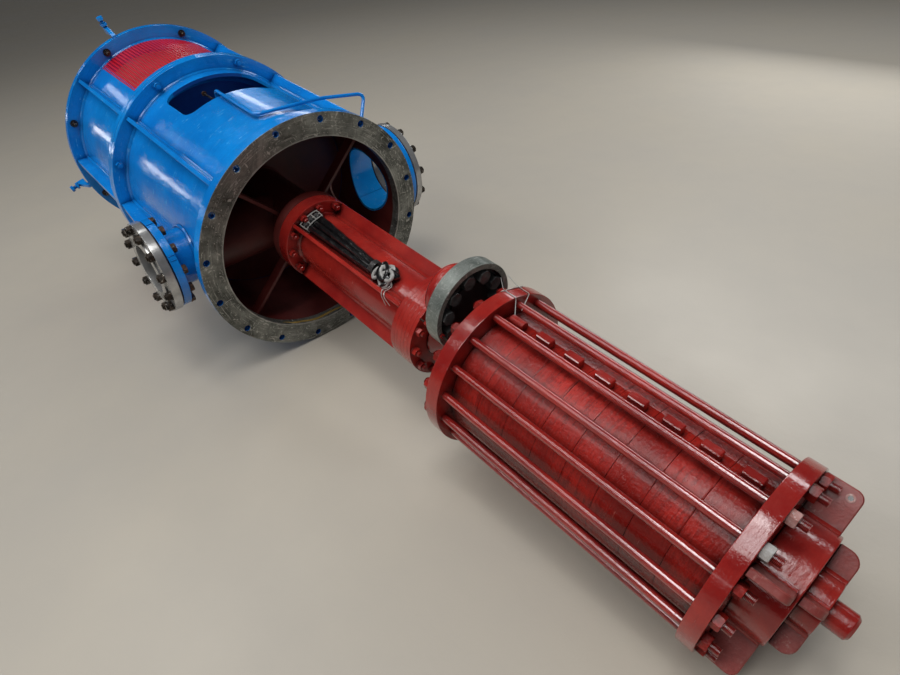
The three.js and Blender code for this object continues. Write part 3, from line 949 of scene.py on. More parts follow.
class Piece:
    """One object of the scene, joined from solids that may each have a finish."""

    def __init__(self, name: str, finish: Finish) -> None:
        """Starts an empty piece.

        Args:
            name: The object's name.
            finish: What it is finished in, where nothing else is said.
        """
        self.name = name
        self.finishes = [finish]
        self.mesh = bmesh.new()

    def add(self, solid: BMesh, place: Matrix = STAY, finish: Finish | None = None) -> None:
        """Adds a solid.

        Args:
            solid: The solid, which is used up.
            place: Where it goes.
            finish: Its finish, if it isn't the piece's own.
        """
        number = self.number(finish or self.finishes[0])
        for face in solid.faces:
            face.material_index = number
        append(self.mesh, solid, place)

    def add_all(self, make: Callable[[], BMesh], places: Iterable[Matrix],
                finish: Finish | None = None) -> None:
        """Adds a solid of its own at each of many places.

        Args:
            make: Makes one solid.
            places: Where they go.
            finish: Their finish, if it isn't the piece's own.
        """
        for place in places:
            self.add(make(), place, finish)

    def number(self, finish: Finish) -> int:
        """The slot of a finish on this piece.

        Args:
            finish: The finish, which is added if it is new.

        Returns:
            The slot's number.
        """
        if finish not in self.finishes:
            self.finishes.append(finish)
        return self.finishes.index(finish)

    def repaint(self, chosen: Callable[[BMFace], bool], finish: Finish) -> None:
        """Gives the chosen faces another finish.

        Args:
            chosen: Whether a face is one of them.
            finish: Their new finish.
        """
        number = self.number(finish)
        self.mesh.faces.ensure_lookup_table()
        for face in self.mesh.faces:
            if chosen(face):
                face.material_index = number

    def ship(self, lay: Lay, slot: Slot, *nodes: str, flat: bool = False) -> None:
        """Lays the piece down, dresses it and makes it ride on the pump.

        Args:
            lay: How the pump lies.
            slot: The record's slot; not used.
            nodes: The CAD nodes that the piece stands for.
            flat: Whether all its faces stay flat.
        """
        bmesh.ops.transform(self.mesh, matrix=lay.matrix, verts=self.mesh.verts[:])
        for face in self.mesh.faces:
            face.smooth = not flat
        made = as_object(self.mesh, self.name)
        for finish in self.finishes:
            made.data.materials.append(finish.material(lay))
        if not flat:
            made.data.set_sharp_from_angle(angle=SMOOTH_BELOW)
            weighted = made.modifiers.new("weighted_normals", "WEIGHTED_NORMAL")
            weighted.keep_sharp = True
        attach(made, "root")
        slot.value
        if nodes:
            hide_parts(*nodes)
        stands_for = ", ".join(nodes) or "nothing"
        LOG.info("%s: %d faces, stands for %s", self.name, len(made.data.polygons), stands_for)


@dataclass(frozen=True)
class Fastener:
    """A nut or a bolt head with the end of its stud, over a washer."""

    across_flats: float
    height: float
    stud: float = 0.0
    tip: float = 0.0
    washer: float = 0.0
    washer_height: float = 3.0

    def solid(self) -> BMesh:
        """The solids together, standing on the x axis.

        Returns:
            One bmesh; the stud shows only where it has a tip, and the washer where it has a radius.
        """
        whole = bmesh.new()
        foot = 0.0
        if self.washer:
            foot = self.washer_height
            append(whole, bar(0.0, foot, self.washer, 20, 0.6))
        append(whole, hexagon(self.across_flats, self.height), at(foot))
        if self.tip:
            top = foot + self.height
            append(whole, threaded(top, top + self.tip, self.stud, steps=10))
        return whole


def off_axis(face: BMFace) -> float:
    """How far a face's middle lies from the pump's axis, before the piece is laid down."""
    return math.hypot(*face.calc_center_median().yz)


@dataclass(frozen=True)
class Rib:
    """A straight rib along the pump, welded to a shell on both sides."""

    back: float
    front: float
    foot: float
    reach: float
    thickness: float
    shell: float
    weld: float
    edge: float = 1.5

    def add_to(self, piece: Piece, angles: Iterable[float]) -> None:
        """Adds the rib and its welds at each angle.

        Args:
            piece: The piece that carries the ribs.
            angles: Where they stand, in degrees.
        """
        for angle in angles:
            piece.add(block(self.back, self.front, self.foot, self.reach, self.thickness, self.edge),
                      around(angle))
            self.weld_to(piece, angle)

    def weld_to(self, piece: Piece, angle: float) -> None:
        """Adds the two welds of a rib.

        Args:
            piece: The piece that carries it.
            angle: Where the rib stands, in degrees.
        """
        for side in (-self.thickness / 2, self.thickness / 2):
            piece.add(fillet(self.back, self.front, self.shell, side, self.weld), around(angle))


# The head and its stool, painted blue


@dataclass(frozen=True)
class Window:
    """An opening in a shell, with rounded corners."""

    angle: float
    back: float
    front: float
    corner: float
    width: float

    cut_from: float = 300.0
    cut_to: float = 600.0

    def cutter(self) -> tuple[BMesh, Matrix]:
        """A block that reaches out through the opening.

        Returns:
            The block and its place.
        """
        half = self.width / 2
        outline = [(self.back, -half), (self.front, -half), (self.front, half), (self.back, half)]
        solid = prism(outline, self.cut_to - self.cut_from, dict.fromkeys(range(4), self.corner), segments=8)
        return solid, around(self.angle - 90) @ Matrix.Translation((0, 0, (self.cut_from + self.cut_to) / 2))


@dataclass(frozen=True)
class MotorFlange:
    """The ring that the motor stands on, with its studs and four jacking brackets."""

    back: float = -1425.0
    front: float = -1398.0
    outer: float = 515.0
    bore: float = 400.0
    studs: int = 8
    stud_circle: float = 485.0
    stud_first: float = 23.5
    stud_nut: Fastener = Fastener(24, 13, stud=8, tip=12, washer=17)
    brackets: int = 4
    bracket_first: float = 105.0
    bracket_back: float = -1490.0
    bracket_foot: float = 505.0
    bracket_clear: float = 519.0
    bracket_top: float = 565.0
    bracket_thickness: float = 18.0
    screw: float = 9.0
    screw_pitch: float = 2.5
    screw_reach: float = 598.0
    screw_head: Fastener = Fastener(26, 14)
    lock_nut: Fastener = Fastener(28, 11)
    screw_inset: float = 22.0

    def bracket(self) -> BMesh:
        """The flat arm of a bracket, which stands on the rim and reaches back past it.

        Returns:
            The closed solid.
        """
        outline = [(self.front - 1, self.bracket_foot), (self.front - 1, self.bracket_foot + 20),
                   (self.bracket_back, self.bracket_top), (self.bracket_back, self.bracket_clear),
                   (self.back, self.bracket_clear), (self.back, self.bracket_foot)]
        return prism(outline, self.bracket_thickness, {2: 8.0, 3: 5.0}, edge=1.2)

    def jacking_screw(self) -> BMesh:
        """The screw through a bracket, with its head outwards and a lock nut.

        Returns:
            The solids together.
        """
        upright = at(self.bracket_back + self.screw_inset) @ UPRIGHT
        head = self.screw_reach - self.screw_head.height
        whole = bmesh.new()
        append(whole, threaded(self.bracket_clear + 1, head, self.screw, self.screw_pitch), upright)
        append(whole, self.screw_head.solid(), upright @ at(head))
        append(whole, self.lock_nut.solid(), upright @ at(self.bracket_top - 7))
        return whole

    def build(self, lay: Lay) -> None:
        """Builds the ring, its brackets and its bolting.

        Args:
            lay: How the pump lies.
        """
        flange = Piece("motor_flange_ring", BLUE)
        flange.add(ring(self.back, self.front, self.outer, self.bore, 128, 2.5))
        for place in on_circle(self.brackets, 0.0, 0.0, self.bracket_first):
            flange.add(self.bracket(), place)
            flange.add(self.jacking_screw(), place)
        flange.ship(lay, Slot.BLUE, "motor_flange")
        bolting = Piece("motor_flange_studs", STUD_STEEL)
        bolting.add_all(self.stud_nut.solid,
                        on_circle(self.studs, self.front, self.stud_circle, self.stud_first))
        bolting.ship(lay, Slot.RAW)


@dataclass(frozen=True)
class MotorStool:
    """The rolled shell between the motor flange and the joint, its windows, ribs and guards."""

    outer: float = 453.0
    inner: float = 439.0
    back: float = -1397.7
    front: float = -868.3
    rib_reach: float = 506.0
    rib_thickness: float = 16.0
    rib_angles: tuple[float, ...] = (0, 45, 135, 180, 270)
    windows: dict[str, Window] = field(default_factory=lambda: {
        "top_guard": Window(90, -1385, -885, 25, 453),
        "left_guard": Window(213, -1385, -885, 25, 396),
        "right_guard": Window(327, -1385, -885, 25, 396)})
    overlap: float = 12.0
    sheet: float = 2.0
    sheet_gap: float = 0.3
    pitch: float = 15.6
    web: float = 0.26
    hole_corner: float = 0.14
    weld: float = 8.0

    def build(self, lay: Lay) -> None:
        """Builds the shell with its ribs and welds, then the guards.

        Args:
            lay: How the pump lies.
        """
        shell = carved(ring(self.back, self.front, self.outer, self.inner, 144),
                       [window.cutter() for window in self.windows.values()])
        stool = Piece("motor_stool_shell", BLUE)
        stool.add(shell)
        wall = (self.outer + self.inner) / 2 - 5
        # Painted shade: the inside of the shell takes the darkened blue
        stool.repaint(lambda face: off_axis(face) < wall, SHADED_BLUE)
        rib = Rib(self.back, self.front, self.inner + 4, self.rib_reach, self.rib_thickness, self.outer,
                  self.weld)
        rib.add_to(stool, self.rib_angles)
        stool.add(weld_ring(self.back, self.outer, self.weld, 1))
        stool.add(weld_ring(self.front, self.outer, self.weld, -1))
        stool.ship(lay, Slot.BLUE, "motor_stool")
        for name, window in self.windows.items():
            guard = Piece(f"{name}_sheet", MESH_RED)
            guard.add(self.perforated(window), around(window.angle))
            guard.ship(lay, Slot.MESH, name, flat=True)

    def perforated(self, window: Window) -> BMesh:
        """A sheet with rows of round holes, bent to the shell.

        Args:
            window: The opening that it covers.

        Returns:
            The sheet, with its middle at angle 0.
        """
        length = window.front - window.back + 2 * self.overlap
        radius = self.outer + self.sheet_gap
        half_angle = math.asin((window.width / 2 + self.overlap) / radius)
        width = 2 * half_angle * radius
        sheet = bmesh.new()
        bmesh.ops.create_grid(sheet, x_segments=round(length / self.pitch),
                              y_segments=round(width / self.pitch), size=0.5)
        bmesh.ops.scale(sheet, vec=(length, width, 1), verts=sheet.verts[:])
        cells = sheet.faces[:]
        bmesh.ops.inset_individual(sheet, faces=cells, thickness=self.pitch * self.web)
        inner = {corner for cell in cells for corner in cell.verts}
        bmesh.ops.bevel(sheet, geom=list(inner), offset=self.pitch * self.hole_corner, segments=1,
                        profile=0.5, affect="VERTICES", material=-1)
        holes = [face for face in sheet.faces if len(face.verts) == HOLE_SIDES]
        bmesh.ops.delete(sheet, geom=holes, context="FACES_ONLY")
        bmesh.ops.recalc_face_normals(sheet, faces=sheet.faces[:])
        bmesh.ops.solidify(sheet, geom=sheet.faces[:], thickness=self.sheet)
        middle = (window.front + window.back) / 2
        for corner in sheet.verts:
            x, y, z = corner.co
            corner.co = polar(x + middle, radius + 1 + z, math.degrees(y / radius))
        bmesh.ops.recalc_face_normals(sheet, faces=sheet.faces[:])
        return sheet


@dataclass(frozen=True)
class JointFlanges:
    """The two flanges that bolt the stool to the head."""

    back: float = -868.0
    middle: float = -841.5
    front: float = -815.0
    outer: float = 510.0
    bore: float = 400.0
    register: float = 288.0
    seat: float = 0.3
    bolts: int = 8
    bolt_circle: float = 485.0
    bolt_first: float = 23.4
    head_nut: Fastener = Fastener(27, 13, stud=9, tip=8, washer=19)
    stool_nut: Fastener = Fastener(27, 12, washer=19)

    def build(self, lay: Lay) -> None:
        """Builds both rings and the painted bolts through them.

        Args:
            lay: How the pump lies.
        """
        stool_side = Piece("stool_foot_flange_ring", BLUE)
        stool_side.add(ring(self.back, self.middle - self.seat, self.outer, self.bore, 128, 2.2))
        stool_side.ship(lay, Slot.BLUE, "stool_foot_flange")
        head_side = Piece("head_top_flange_ring", BLUE)
        head_side.add(ring(self.middle, self.front, self.outer, self.bore, 128, 2.2))
        # Painted shade: the ring's bore and the register ring take the darkened blue, which closes the view
        # into the head
        head_side.repaint(lambda face: off_axis(face) < HeadShell.inner - 2, SHADED_BLUE)
        register = ring(self.middle + 4, self.front - 4, self.bore + 2, self.register, 96, 2)
        head_side.add(register, STAY, SHADED_BLUE)
        head_side.ship(lay, Slot.BLUE, "head_top_flange")
        bolting = Piece("joint_bolts", BLUE)
        bolting.add_all(self.head_nut.solid,
                        on_circle(self.bolts, self.front, self.bolt_circle, self.bolt_first))
        bolting.add_all(self.stool_nut.solid,
                        (place @ BACKWARDS
                         for place in on_circle(self.bolts, self.back, self.bolt_circle, self.bolt_first)))
        bolting.ship(lay, Slot.BLUE)


@dataclass(frozen=True)
class Nozzle:
    """A neck through the head's shell, its flange and the bright flange bolted to it."""

    name: str
    angle: float
    outer: float
    bore: float
    flange: float
    back: float
    face: float
    companion: float
    step: float
    companion_face: float
    step_face: float
    bolt_circle: float
    bolt: float
    nut: float
    nut_height: float = 18.0
    nut_tip: float = 5.0
    head_height: float = 14.0
    start: float = 300.0
    end: float = 700.0
    head_inner: float = 436.0
    shell: float = 450.0
    x: float = -260.0
    bolts: int = 12
    bolt_first: float = 15.0
    gasket: float = 6.0
    seat: float = 0.3
    saddle: float = 6.5
    saddle_steps: int = 72
    tab_angles: tuple[float, ...] = (211.0, 217.0, 268.0, 385.0)
    lining: Finish = BLUE
    seam_angle: float | None = None
    seam: float = 3.0

    def line(self) -> Matrix:
        """The nozzle's own line, which starts on the pump's axis and runs outwards."""
        return at(self.x) @ around(self.angle) @ UPRIGHT

    def cutter(self) -> tuple[BMesh, Matrix]:
        """What the shell loses where the neck passes."""
        return bar(self.start, self.end, self.outer + self.seat, 64), self.line()

    def saddle_weld(self) -> BMesh:
        """The weld round the neck where it meets the shell.

        Returns:
            The closed tube, on the nozzle's own line.
        """
        route = []
        reach = self.outer + 4
        for step in range(self.saddle_steps):
            turn = FULL_TURN * step / self.saddle_steps
            z = reach * math.sin(turn)
            route.append(Vector((math.sqrt((self.shell + 3) ** 2 - z * z), -reach * math.cos(turn), z)))
        return tube(route, self.saddle, 8, closed=True)

    def is_bore(self, place: Vector) -> bool:
        """Whether a place on the nozzle's own line is on the wall of its bore."""
        return math.hypot(*place.yz) < self.bore + 0.5

    def build(self, lay: Lay) -> None:
        """Builds the neck and flange, the companion flange, the gasket and the bolting.

        Args:
            lay: How the pump lies.
        """
        self.build_neck(lay)
        self.build_companion(lay)
        self.build_bolting(lay)

    def build_neck(self, lay: Lay) -> None:
        """Builds the neck with its flange, welds, rim tabs and lining.

        Args:
            lay: How the pump lies.
        """
        outline = [(self.start, self.bore), (self.start, self.outer), (self.back, self.outer),
                   (self.back, self.flange), (self.face, self.flange), (self.face, self.bore)]
        room = bar(-900, 0, self.head_inner, 144)
        neck = Piece(f"{self.name}_neck", BLUE)
        neck.add(carved(turned(outline, 96, 1.8), [(room, self.line().inverted())]), self.line())
        neck.add(weld_ring(self.back, self.outer, 8, -1, 72), self.line())
        neck.add(self.saddle_weld(), self.line())
        for angle in self.tab_angles:
            tab = block(self.back + 3, self.face - 3, self.flange - 2, self.flange + 3, 4, 0.8)
            neck.add(tab, self.line() @ around(angle))
        if self.seam_angle is not None:
            seam = around(self.seam_angle)
            neck.add(tube([seam @ Vector((self.head_inner - 20, self.bore, 0)),
                           seam @ Vector((self.face - 2, self.bore, 0))], self.seam, 8), self.line())
        own = self.line().inverted()
        neck.repaint(lambda face: self.is_bore(own @ face.calc_center_median()), self.lining)
        neck.ship(lay, Slot.BLUE, f"{self.name}_flange")

    def build_companion(self, lay: Lay) -> None:
        """Builds the turned flange and the gasket under it.

        Args:
            lay: How the pump lies.
        """
        bright = TurnedSteel(f"{self.name}_turned_steel", (0.62, 0.62, 0.61),
                             (lay.matrix @ self.line()).translation)
        start = self.face + self.gasket
        outline = [(start, self.bore), (start, self.companion), (self.companion_face, self.companion),
                   (self.companion_face, self.step), (self.step_face, self.step), (self.step_face, self.bore)]
        companion = Piece(f"{self.name}_companion_ring", bright)
        companion.add(turned(outline, 96, 1.5), self.line())
        companion.ship(lay, Slot.TURNED, f"{self.name}_companion_flange")
        seal = Piece(f"{self.name}_gasket", GASKET)
        seal.add(ring(self.face, start, self.bolt_circle - self.bolt - 6, self.bore, 72), self.line())
        seal.add(ring(self.face + 1, start - 1, self.flange - 6, self.bore, 72), self.line())
        seal.ship(lay, Slot.SLEEVE)

    def build_bolting(self, lay: Lay) -> None:
        """Builds the studs' nuts in front and the bolts' heads behind.

        Args:
            lay: How the pump lies.
        """
        nut = Fastener(self.nut, self.nut_height, self.bolt, self.nut_tip, self.nut * 0.6)
        studs = Piece(f"{self.name}_studs", STUD_STEEL)
        studs.add_all(nut.solid, (self.line() @ place for place in self.bolt_places(self.companion_face)))
        studs.ship(lay, Slot.RAW)
        head = Fastener(self.nut, self.head_height, washer=self.nut * 0.62)
        heads = Piece(f"{self.name}_bolt_heads", RUSTY)
        heads.add_all(head.solid, (self.line() @ place @ BACKWARDS for place in self.bolt_places(self.back)))
        heads.ship(lay, Slot.RAW)

    def bolt_places(self, x: float) -> Iterator[Matrix]:
        """Places of the bolts at a distance along the nozzle's line."""
        return on_circle(self.bolts, x, self.bolt_circle, self.bolt_first)


DISCHARGE = Nozzle("discharge", angle=180, outer=110, bore=98, flange=177, back=529, face=560, companion=182,
                   step=140, companion_face=598.5, step_face=606, bolt_circle=161, bolt=11, nut=32,
                   lining=BORE_STEEL)
# The suction bore is lined in the brighter blue, as painted light
SUCTION = Nozzle("suction", angle=0, outer=150, bore=141, flange=208, back=529, face=556, companion=208,
                 step=172, companion_face=590, step_face=596, bolt_circle=189, bolt=10, nut=30,
                 lining=LIT_BORE_BLUE, seam_angle=-60.0)


@dataclass(frozen=True)
class HeadShell:
    """The head's rolled shell with its window, ribs and the plates to the nozzles."""

    outer: float = 450.0
    inner: float = 436.0
    back: float = -814.7
    front: float = -45.3
    rib_reach: float = 499.0
    rib_thickness: float = 16.0
    rib_angles: tuple[float, ...] = (45, 135, 225, 315)
    window: Window = Window(90, -752, -515, 46, 408)
    red_from: float = -486.0
    weld: float = 8.0

    def nozzle_plate(self, nozzle: Nozzle) -> BMesh:
        """The plate from the joint flange's rim to a nozzle's flange.

        Args:
            nozzle: The nozzle that it reaches.

        Returns:
            The closed solid.
        """
        outline = [(self.back, self.inner + 4), (self.back, self.rib_reach + 5),
                   (nozzle.x - nozzle.flange, nozzle.back), (nozzle.x - nozzle.outer, nozzle.back),
                   (nozzle.x - nozzle.outer, self.inner + 4)]
        return prism(outline, self.rib_thickness, edge=1.5)

    def build(self, lay: Lay) -> None:
        """Builds the shell, blue outside and red where the barrel's liquid is.

        Args:
            lay: How the pump lies.
        """
        cutters = [self.window.cutter(), DISCHARGE.cutter(), SUCTION.cutter()]
        head = Piece("head_shell_plate", BLUE)
        head.add(carved(ring(self.back, self.front, self.outer, self.inner, 144), cutters))
        everything = head.mesh.verts[:] + head.mesh.edges[:] + head.mesh.faces[:]
        bmesh.ops.bisect_plane(head.mesh, geom=everything, plane_co=(self.red_from, 0, 0), plane_no=(1, 0, 0))
        wall = (self.outer + self.inner) / 2 - 5
        # Painted shade: the inside takes the darkened blue, and primer in front of red_from
        head.repaint(lambda face: off_axis(face) < wall, SHADED_BLUE)
        head.repaint(lambda face: off_axis(face) < wall and face.calc_center_median().x > self.red_from,
                     PRIMER)
        rib = Rib(self.back, self.front, self.inner + 4, self.rib_reach, self.rib_thickness, self.outer,
                  self.weld)
        rib.add_to(head, self.rib_angles)
        for nozzle in (DISCHARGE, SUCTION):
            head.add(self.nozzle_plate(nozzle), around(nozzle.angle))
            replace(rib, front=nozzle.x - nozzle.outer).weld_to(head, nozzle.angle)
        head.add(weld_ring(self.back, self.outer, self.weld, 1))
        head.add(weld_ring(self.front, self.outer, self.weld, -1))
        head.ship(lay, Slot.BLUE, "head_shell")


@dataclass(frozen=True)
class BarrelFlange:
    """The head's open flange: bare machined face with its bolt holes, blue round the rim."""

    back: float = -45.0
    front: float = 0.0
    outer: float = 500.0
    bore: float = 410.0
    holes: int = 16
    hole: float = 13.0
    hole_circle: float = 474.0

    def hole_cutter(self) -> BMesh:
        """A hole with its edge taken off at the face.

        Returns:
            The solid that cuts it.
        """
        return turned([(self.back - 10, 0), (self.back - 10, self.hole), (self.front - 2.5, self.hole),
                       (self.front + 0.5, self.hole + 3), (self.front + 10, self.hole + 3),
                       (self.front + 10, 0)], 20)

    def lip(self) -> BMesh:
        """The bright lip round the bore.

        Returns:
            The closed ring.
        """
        return turned([(self.front - 3, self.bore - 1), (self.front - 3, self.bore + 5),
                       (self.front - 0.6, self.bore + 5), (self.front + 0.5, self.bore + 3),
                       (self.front + 0.5, self.bore + 0.4), (self.front - 0.8, self.bore - 1)], 144)

    def build(self, lay: Lay) -> None:
        """Builds the flange.

        Args:
            lay: How the pump lies.
        """
        holes = [(self.hole_cutter(), place)
                 for place in on_circle(self.holes, 0, self.hole_circle, 180 / self.holes)]
        flange = Piece("barrel_flange_ring", FLANGE_STEEL)
        flange.add(carved(ring(self.back, self.front, self.outer, self.bore, 144, 2.5), holes))
        flange.repaint(self.is_painted, BLUE)
        flange.add(self.lip(), STAY, LIP_STEEL)
        flange.ship(lay, Slot.RAW, "barrel_flange")

    def is_painted(self, face: BMFace) -> bool:
        """Whether the blue paint reaches a face: the rim, the back and the holes behind their edges.

        Args:
            face: A face of the flange.

        Returns:
            True for a painted one.
        """
        radius = off_axis(face)
        in_hole = abs(radius - self.hole_circle) < self.hole + 1 and abs(face.normal.x) < 0.3
        looks_back = face.normal.x < -0.5
        behind_face = face.calc_center_median().x < self.front - 3
        return behind_face and (radius > self.outer - 1 or looks_back or in_hole)


@dataclass(frozen=True)
class HeadInside:
    """Inside the head: seal plate and shaft, discharge bend, and the column's seat."""

    room: float = 434.0
    plate_front: float = -485.0
    plate_back: float = -515.0
    housing_back: float = -610.0
    housing: float = 125.0
    gland_back: float = -640.0
    gland: float = 75.0
    shaft: float = 32.0
    shaft_back: float = -800.0
    riser: float = 120.0
    hub_back: float = -145.0
    hub_flange_back: float = -76.0
    hub_front: float = -33.3
    hub_flange: float = 166.0
    hub_bore: float = 100.0
    rib_front: float = -100.0
    rib_thickness: float = 14.0
    rib_angles: tuple[float, ...] = (45, 135, 225, 315)
    rib_weld: float = 7.0
    rod_angle: float = 98.0
    rod_radius: float = 418.0
    rod_back: float = -672.0
    rod: float = 4.5
    rod_head: Fastener = Fastener(19, 10)
    plate_nut: Fastener = Fastener(24, 13, stud=8, tip=10, washer=16)
    plate_nuts: int = 12
    plate_circle: float = 160.0
    plate_first: float = 15.0
    housing_nut: Fastener = Fastener(18, 10, stud=6, tip=14)
    housing_nuts: int = 4
    housing_circle: float = 100.0
    housing_first: float = 45.0
    drain: float = 4.0
    drain_bend: float = 30.0
    drain_points: tuple[Point, ...] = (
        (-60, 178, 12), (-150, 186, 14), (-160, 202, 32), (-160, 356, 38.7), (-160, HeadShell.inner, 40))
    trails: tuple[Point, ...] = ((246, 46, 3.2), (262, 92, 4.5), (284, 60, 3.4), (303, 30, 2.6))
    trail_steps: int = 12

    def build(self, lay: Lay) -> None:
        """Builds what shows through the window and through the barrel flange.

        Args:
            lay: How the pump lies.
        """
        self.build_seal(lay)
        self.build_pipes(lay)
        self.build_small_parts(lay)

    def build_seal(self, lay: Lay) -> None:
        """Builds the seal plate with its bolting and its rod, and the shaft.

        Args:
            lay: How the pump lies.
        """
        # Painted shade: the seal plate takes the darkened blue, with primer on its front face
        seal = Piece("seal_plate_disc", SHADED_BLUE)
        seal.add(turned([(self.gland_back, 0), (self.gland_back, self.gland), (self.housing_back, self.gland),
                         (self.housing_back, self.housing), (self.plate_back, self.housing),
                         (self.plate_back, self.room), (self.plate_front, self.room),
                         (self.plate_front, 0)], 96, 2))
        on_plate = on_circle(self.plate_nuts, self.plate_back, self.plate_circle, self.plate_first)
        seal.add_all(self.plate_nut.solid, (place @ BACKWARDS for place in on_plate))
        on_housing = on_circle(self.housing_nuts, self.housing_back, self.housing_circle, self.housing_first)
        seal.add_all(self.housing_nut.solid, (place @ BACKWARDS for place in on_housing), STUD_STEEL)
        rod = at(0, self.rod_radius, self.rod_angle)
        seal.add(bar(self.rod_back, self.plate_back, self.rod, 12), rod, STUD_STEEL)
        seal.add(self.rod_head.solid(), rod @ at(self.rod_back - 4), RUSTY)
        seal.repaint(lambda face: face.calc_center_median().x > self.plate_front - 1, PRIMER)
        seal.ship(lay, Slot.BLUE, "seal_plate")
        shaft = Piece("pump_shaft_bar", TurnedSteel("shaft_steel", (0.5, 0.5, 0.49), lay.matrix.translation))
        step, front = self.shaft_back + 60, self.gland_back - 0.3
        shaft.add(turned([(self.shaft_back, 0), (self.shaft_back, self.shaft - 3), (step, self.shaft - 3),
                          (step, self.shaft), (front, self.shaft), (front, 0)], 40, 1.5))
        shaft.ship(lay, Slot.TURNED, "pump_shaft")

    def build_pipes(self, lay: Lay) -> None:
        """Builds the discharge bend and the column's seat.

        Args:
            lay: How the pump lies.
        """
        bend = Piece("discharge_bend_pipe", PRIMER)
        bend.add(bar(self.plate_front + 0.3, self.hub_back - 0.3, self.riser, 72))
        branch = turned([(40, DISCHARGE.bore), (40, DISCHARGE.outer), (self.room - 8, DISCHARGE.outer),
                         (self.room - 8, DISCHARGE.bore)], 72)
        bend.add(branch, DISCHARGE.line())
        bend.add(weld_ring(self.plate_front, self.riser, 8, 1, 64))
        bend.ship(lay, Slot.RED, "discharge_bend")
        seat = Piece("column_seat_hub", PRIMER)
        seat.add(turned([(self.hub_back, self.hub_bore), (self.hub_back, self.riser),
                         (self.hub_flange_back, self.riser), (self.hub_flange_back, self.hub_flange),
                         (self.hub_front, self.hub_flange), (self.hub_front, self.hub_bore)], 72, 2))
        rib = Rib(self.hub_back, self.rib_front, self.riser - 8, self.room, self.rib_thickness, self.riser,
                  self.rib_weld)
        rib.add_to(seat, self.rib_angles)
        seat.ship(lay, Slot.RED, "column_seat")

    def build_small_parts(self, lay: Lay) -> None:
        """Builds the drain tube and the trails of grease on the barrel flange's bore.

        Args:
            lay: How the pump lies.
        """
        drain = Piece("drain_tube", PALE_PAINT)
        route = [polar(*point) for point in self.drain_points]
        drain.add(tube(rounded_route(route, self.drain_bend), self.drain, 12))
        drain.ship(lay, Slot.RED)
        line = Piece("grease_trail", GREASE)
        for middle, length, width in self.trails:
            trail = []
            for step in range(self.trail_steps + 1):
                angle = middle + length * (step / self.trail_steps - 0.5) / 2
                trail.append(polar(-16 - 4 * math.sin(step), BarrelFlange.bore - 0.3, angle))
            line.add(tube(trail, width, 8, swell=lambda share: 0.25 + math.sin(math.pi * share)))
        line.ship(lay, Slot.RED)


@dataclass(frozen=True)
class VentTube:
    """The small tube out of the window, along the head, across it and down to the barrel flange."""

    radius: float = 7.0
    bend: float = 32.0
    fitting: Fastener = Fastener(24, 16)
    points: tuple[Point, ...] = (
        (-515.3, -50, 400), (-550, -50, 400), (-552, -57, 463), (-205, -63, 465),
        (-175, 200, 462), (-118, 372, 450), (-84, 322, 367), (-45.3, 322, 367))

    def build(self, lay: Lay) -> None:
        """Builds the tube and the nut of its fitting.

        Args:
            lay: How the pump lies.
        """
        points = [Vector(point) for point in self.points]
        vent = Piece("vent_tube_pipe", BLUE)
        vent.add(tube(rounded_route(points, self.bend, 8), self.radius, 16))
        vent.add(self.fitting.solid(), Matrix.Translation(points[-1]) @ BACKWARDS)
        vent.ship(lay, Slot.BLUE, "vent_tube")


# The column


@dataclass(frozen=True)
class Column:
    """The column: its bolted top flange, the finned pipe and the stack of rings at its foot."""

    top_back: float = -33.0
    top_front: float = 28.0
    top_radius: float = 166.0
    radius: float = 110.0
    foot_back: float = 690.0
    foot_front: float = 791.0
    foot_radius: float = 165.0
    fin_reach: float = 165.0
    fin_thickness: float = 14.0
    fin_angles: tuple[float, ...] = (45, 135, 225, 315)
    weld: float = 9.0
    seat: float = 0.3
    grooves: tuple[float, ...] = (708, 722, 741, 756, 775)
    groove_width: float = 1.4
    groove_depth: float = 1.1
    bolts: int = 12
    bolt_circle: float = 145.0
    bolt_first: float = 28.5
    top_nut: Fastener = Fastener(27, 16, stud=9, tip=10, washer=17)
    foot_nut: Fastener = Fastener(27, 16, stud=9, tip=9, washer=17)

    def build(self, lay: Lay) -> None:
        """Builds the three pieces and their nuts.

        Args:
            lay: How the pump lies.
        """
        top = Piece("column_top_flange_disc", RED)
        top.add(bar(self.top_back, self.top_front, self.top_radius, 96, 4))
        top.add_all(self.top_nut.solid,
                    on_circle(self.bolts, self.top_front, self.bolt_circle, self.bolt_first))
        top.ship(lay, Slot.RED, "column_top_flange")
        back, front = self.top_front + self.seat, self.foot_back - self.seat
        pipe = Piece("column_finned_pipe", RED)
        pipe.add(bar(back, front, self.radius, 72))
        pipe.add(weld_ring(back, self.radius, self.weld, 1, 72))
        pipe.add(weld_ring(front, self.radius, self.weld, -1, 72))
        fin = Rib(back, front, self.radius - 8, self.fin_reach, self.fin_thickness, self.radius, self.weld,
                  edge=2.0)
        fin.add_to(pipe, self.fin_angles)
        pipe.ship(lay, Slot.RED, "column_pipe")
        outline = [(self.foot_back, 0), (self.foot_back, self.foot_radius)]
        for x in self.grooves:
            outline += [(x, self.foot_radius),
                        (x + self.groove_width / 2, self.foot_radius - self.groove_depth),
                        (x + self.groove_width, self.foot_radius)]
        outline += [(self.foot_front, self.foot_radius), (self.foot_front, 0)]
        foot = Piece("column_foot_stack", RED)
        foot.add(turned(outline, 96, 1))
        foot.add_all(self.foot_nut.solid,
                     on_circle(self.bolts, self.foot_front, self.bolt_circle, self.bolt_first))
        foot.ship(lay, Slot.RED, "column_foot_flange")


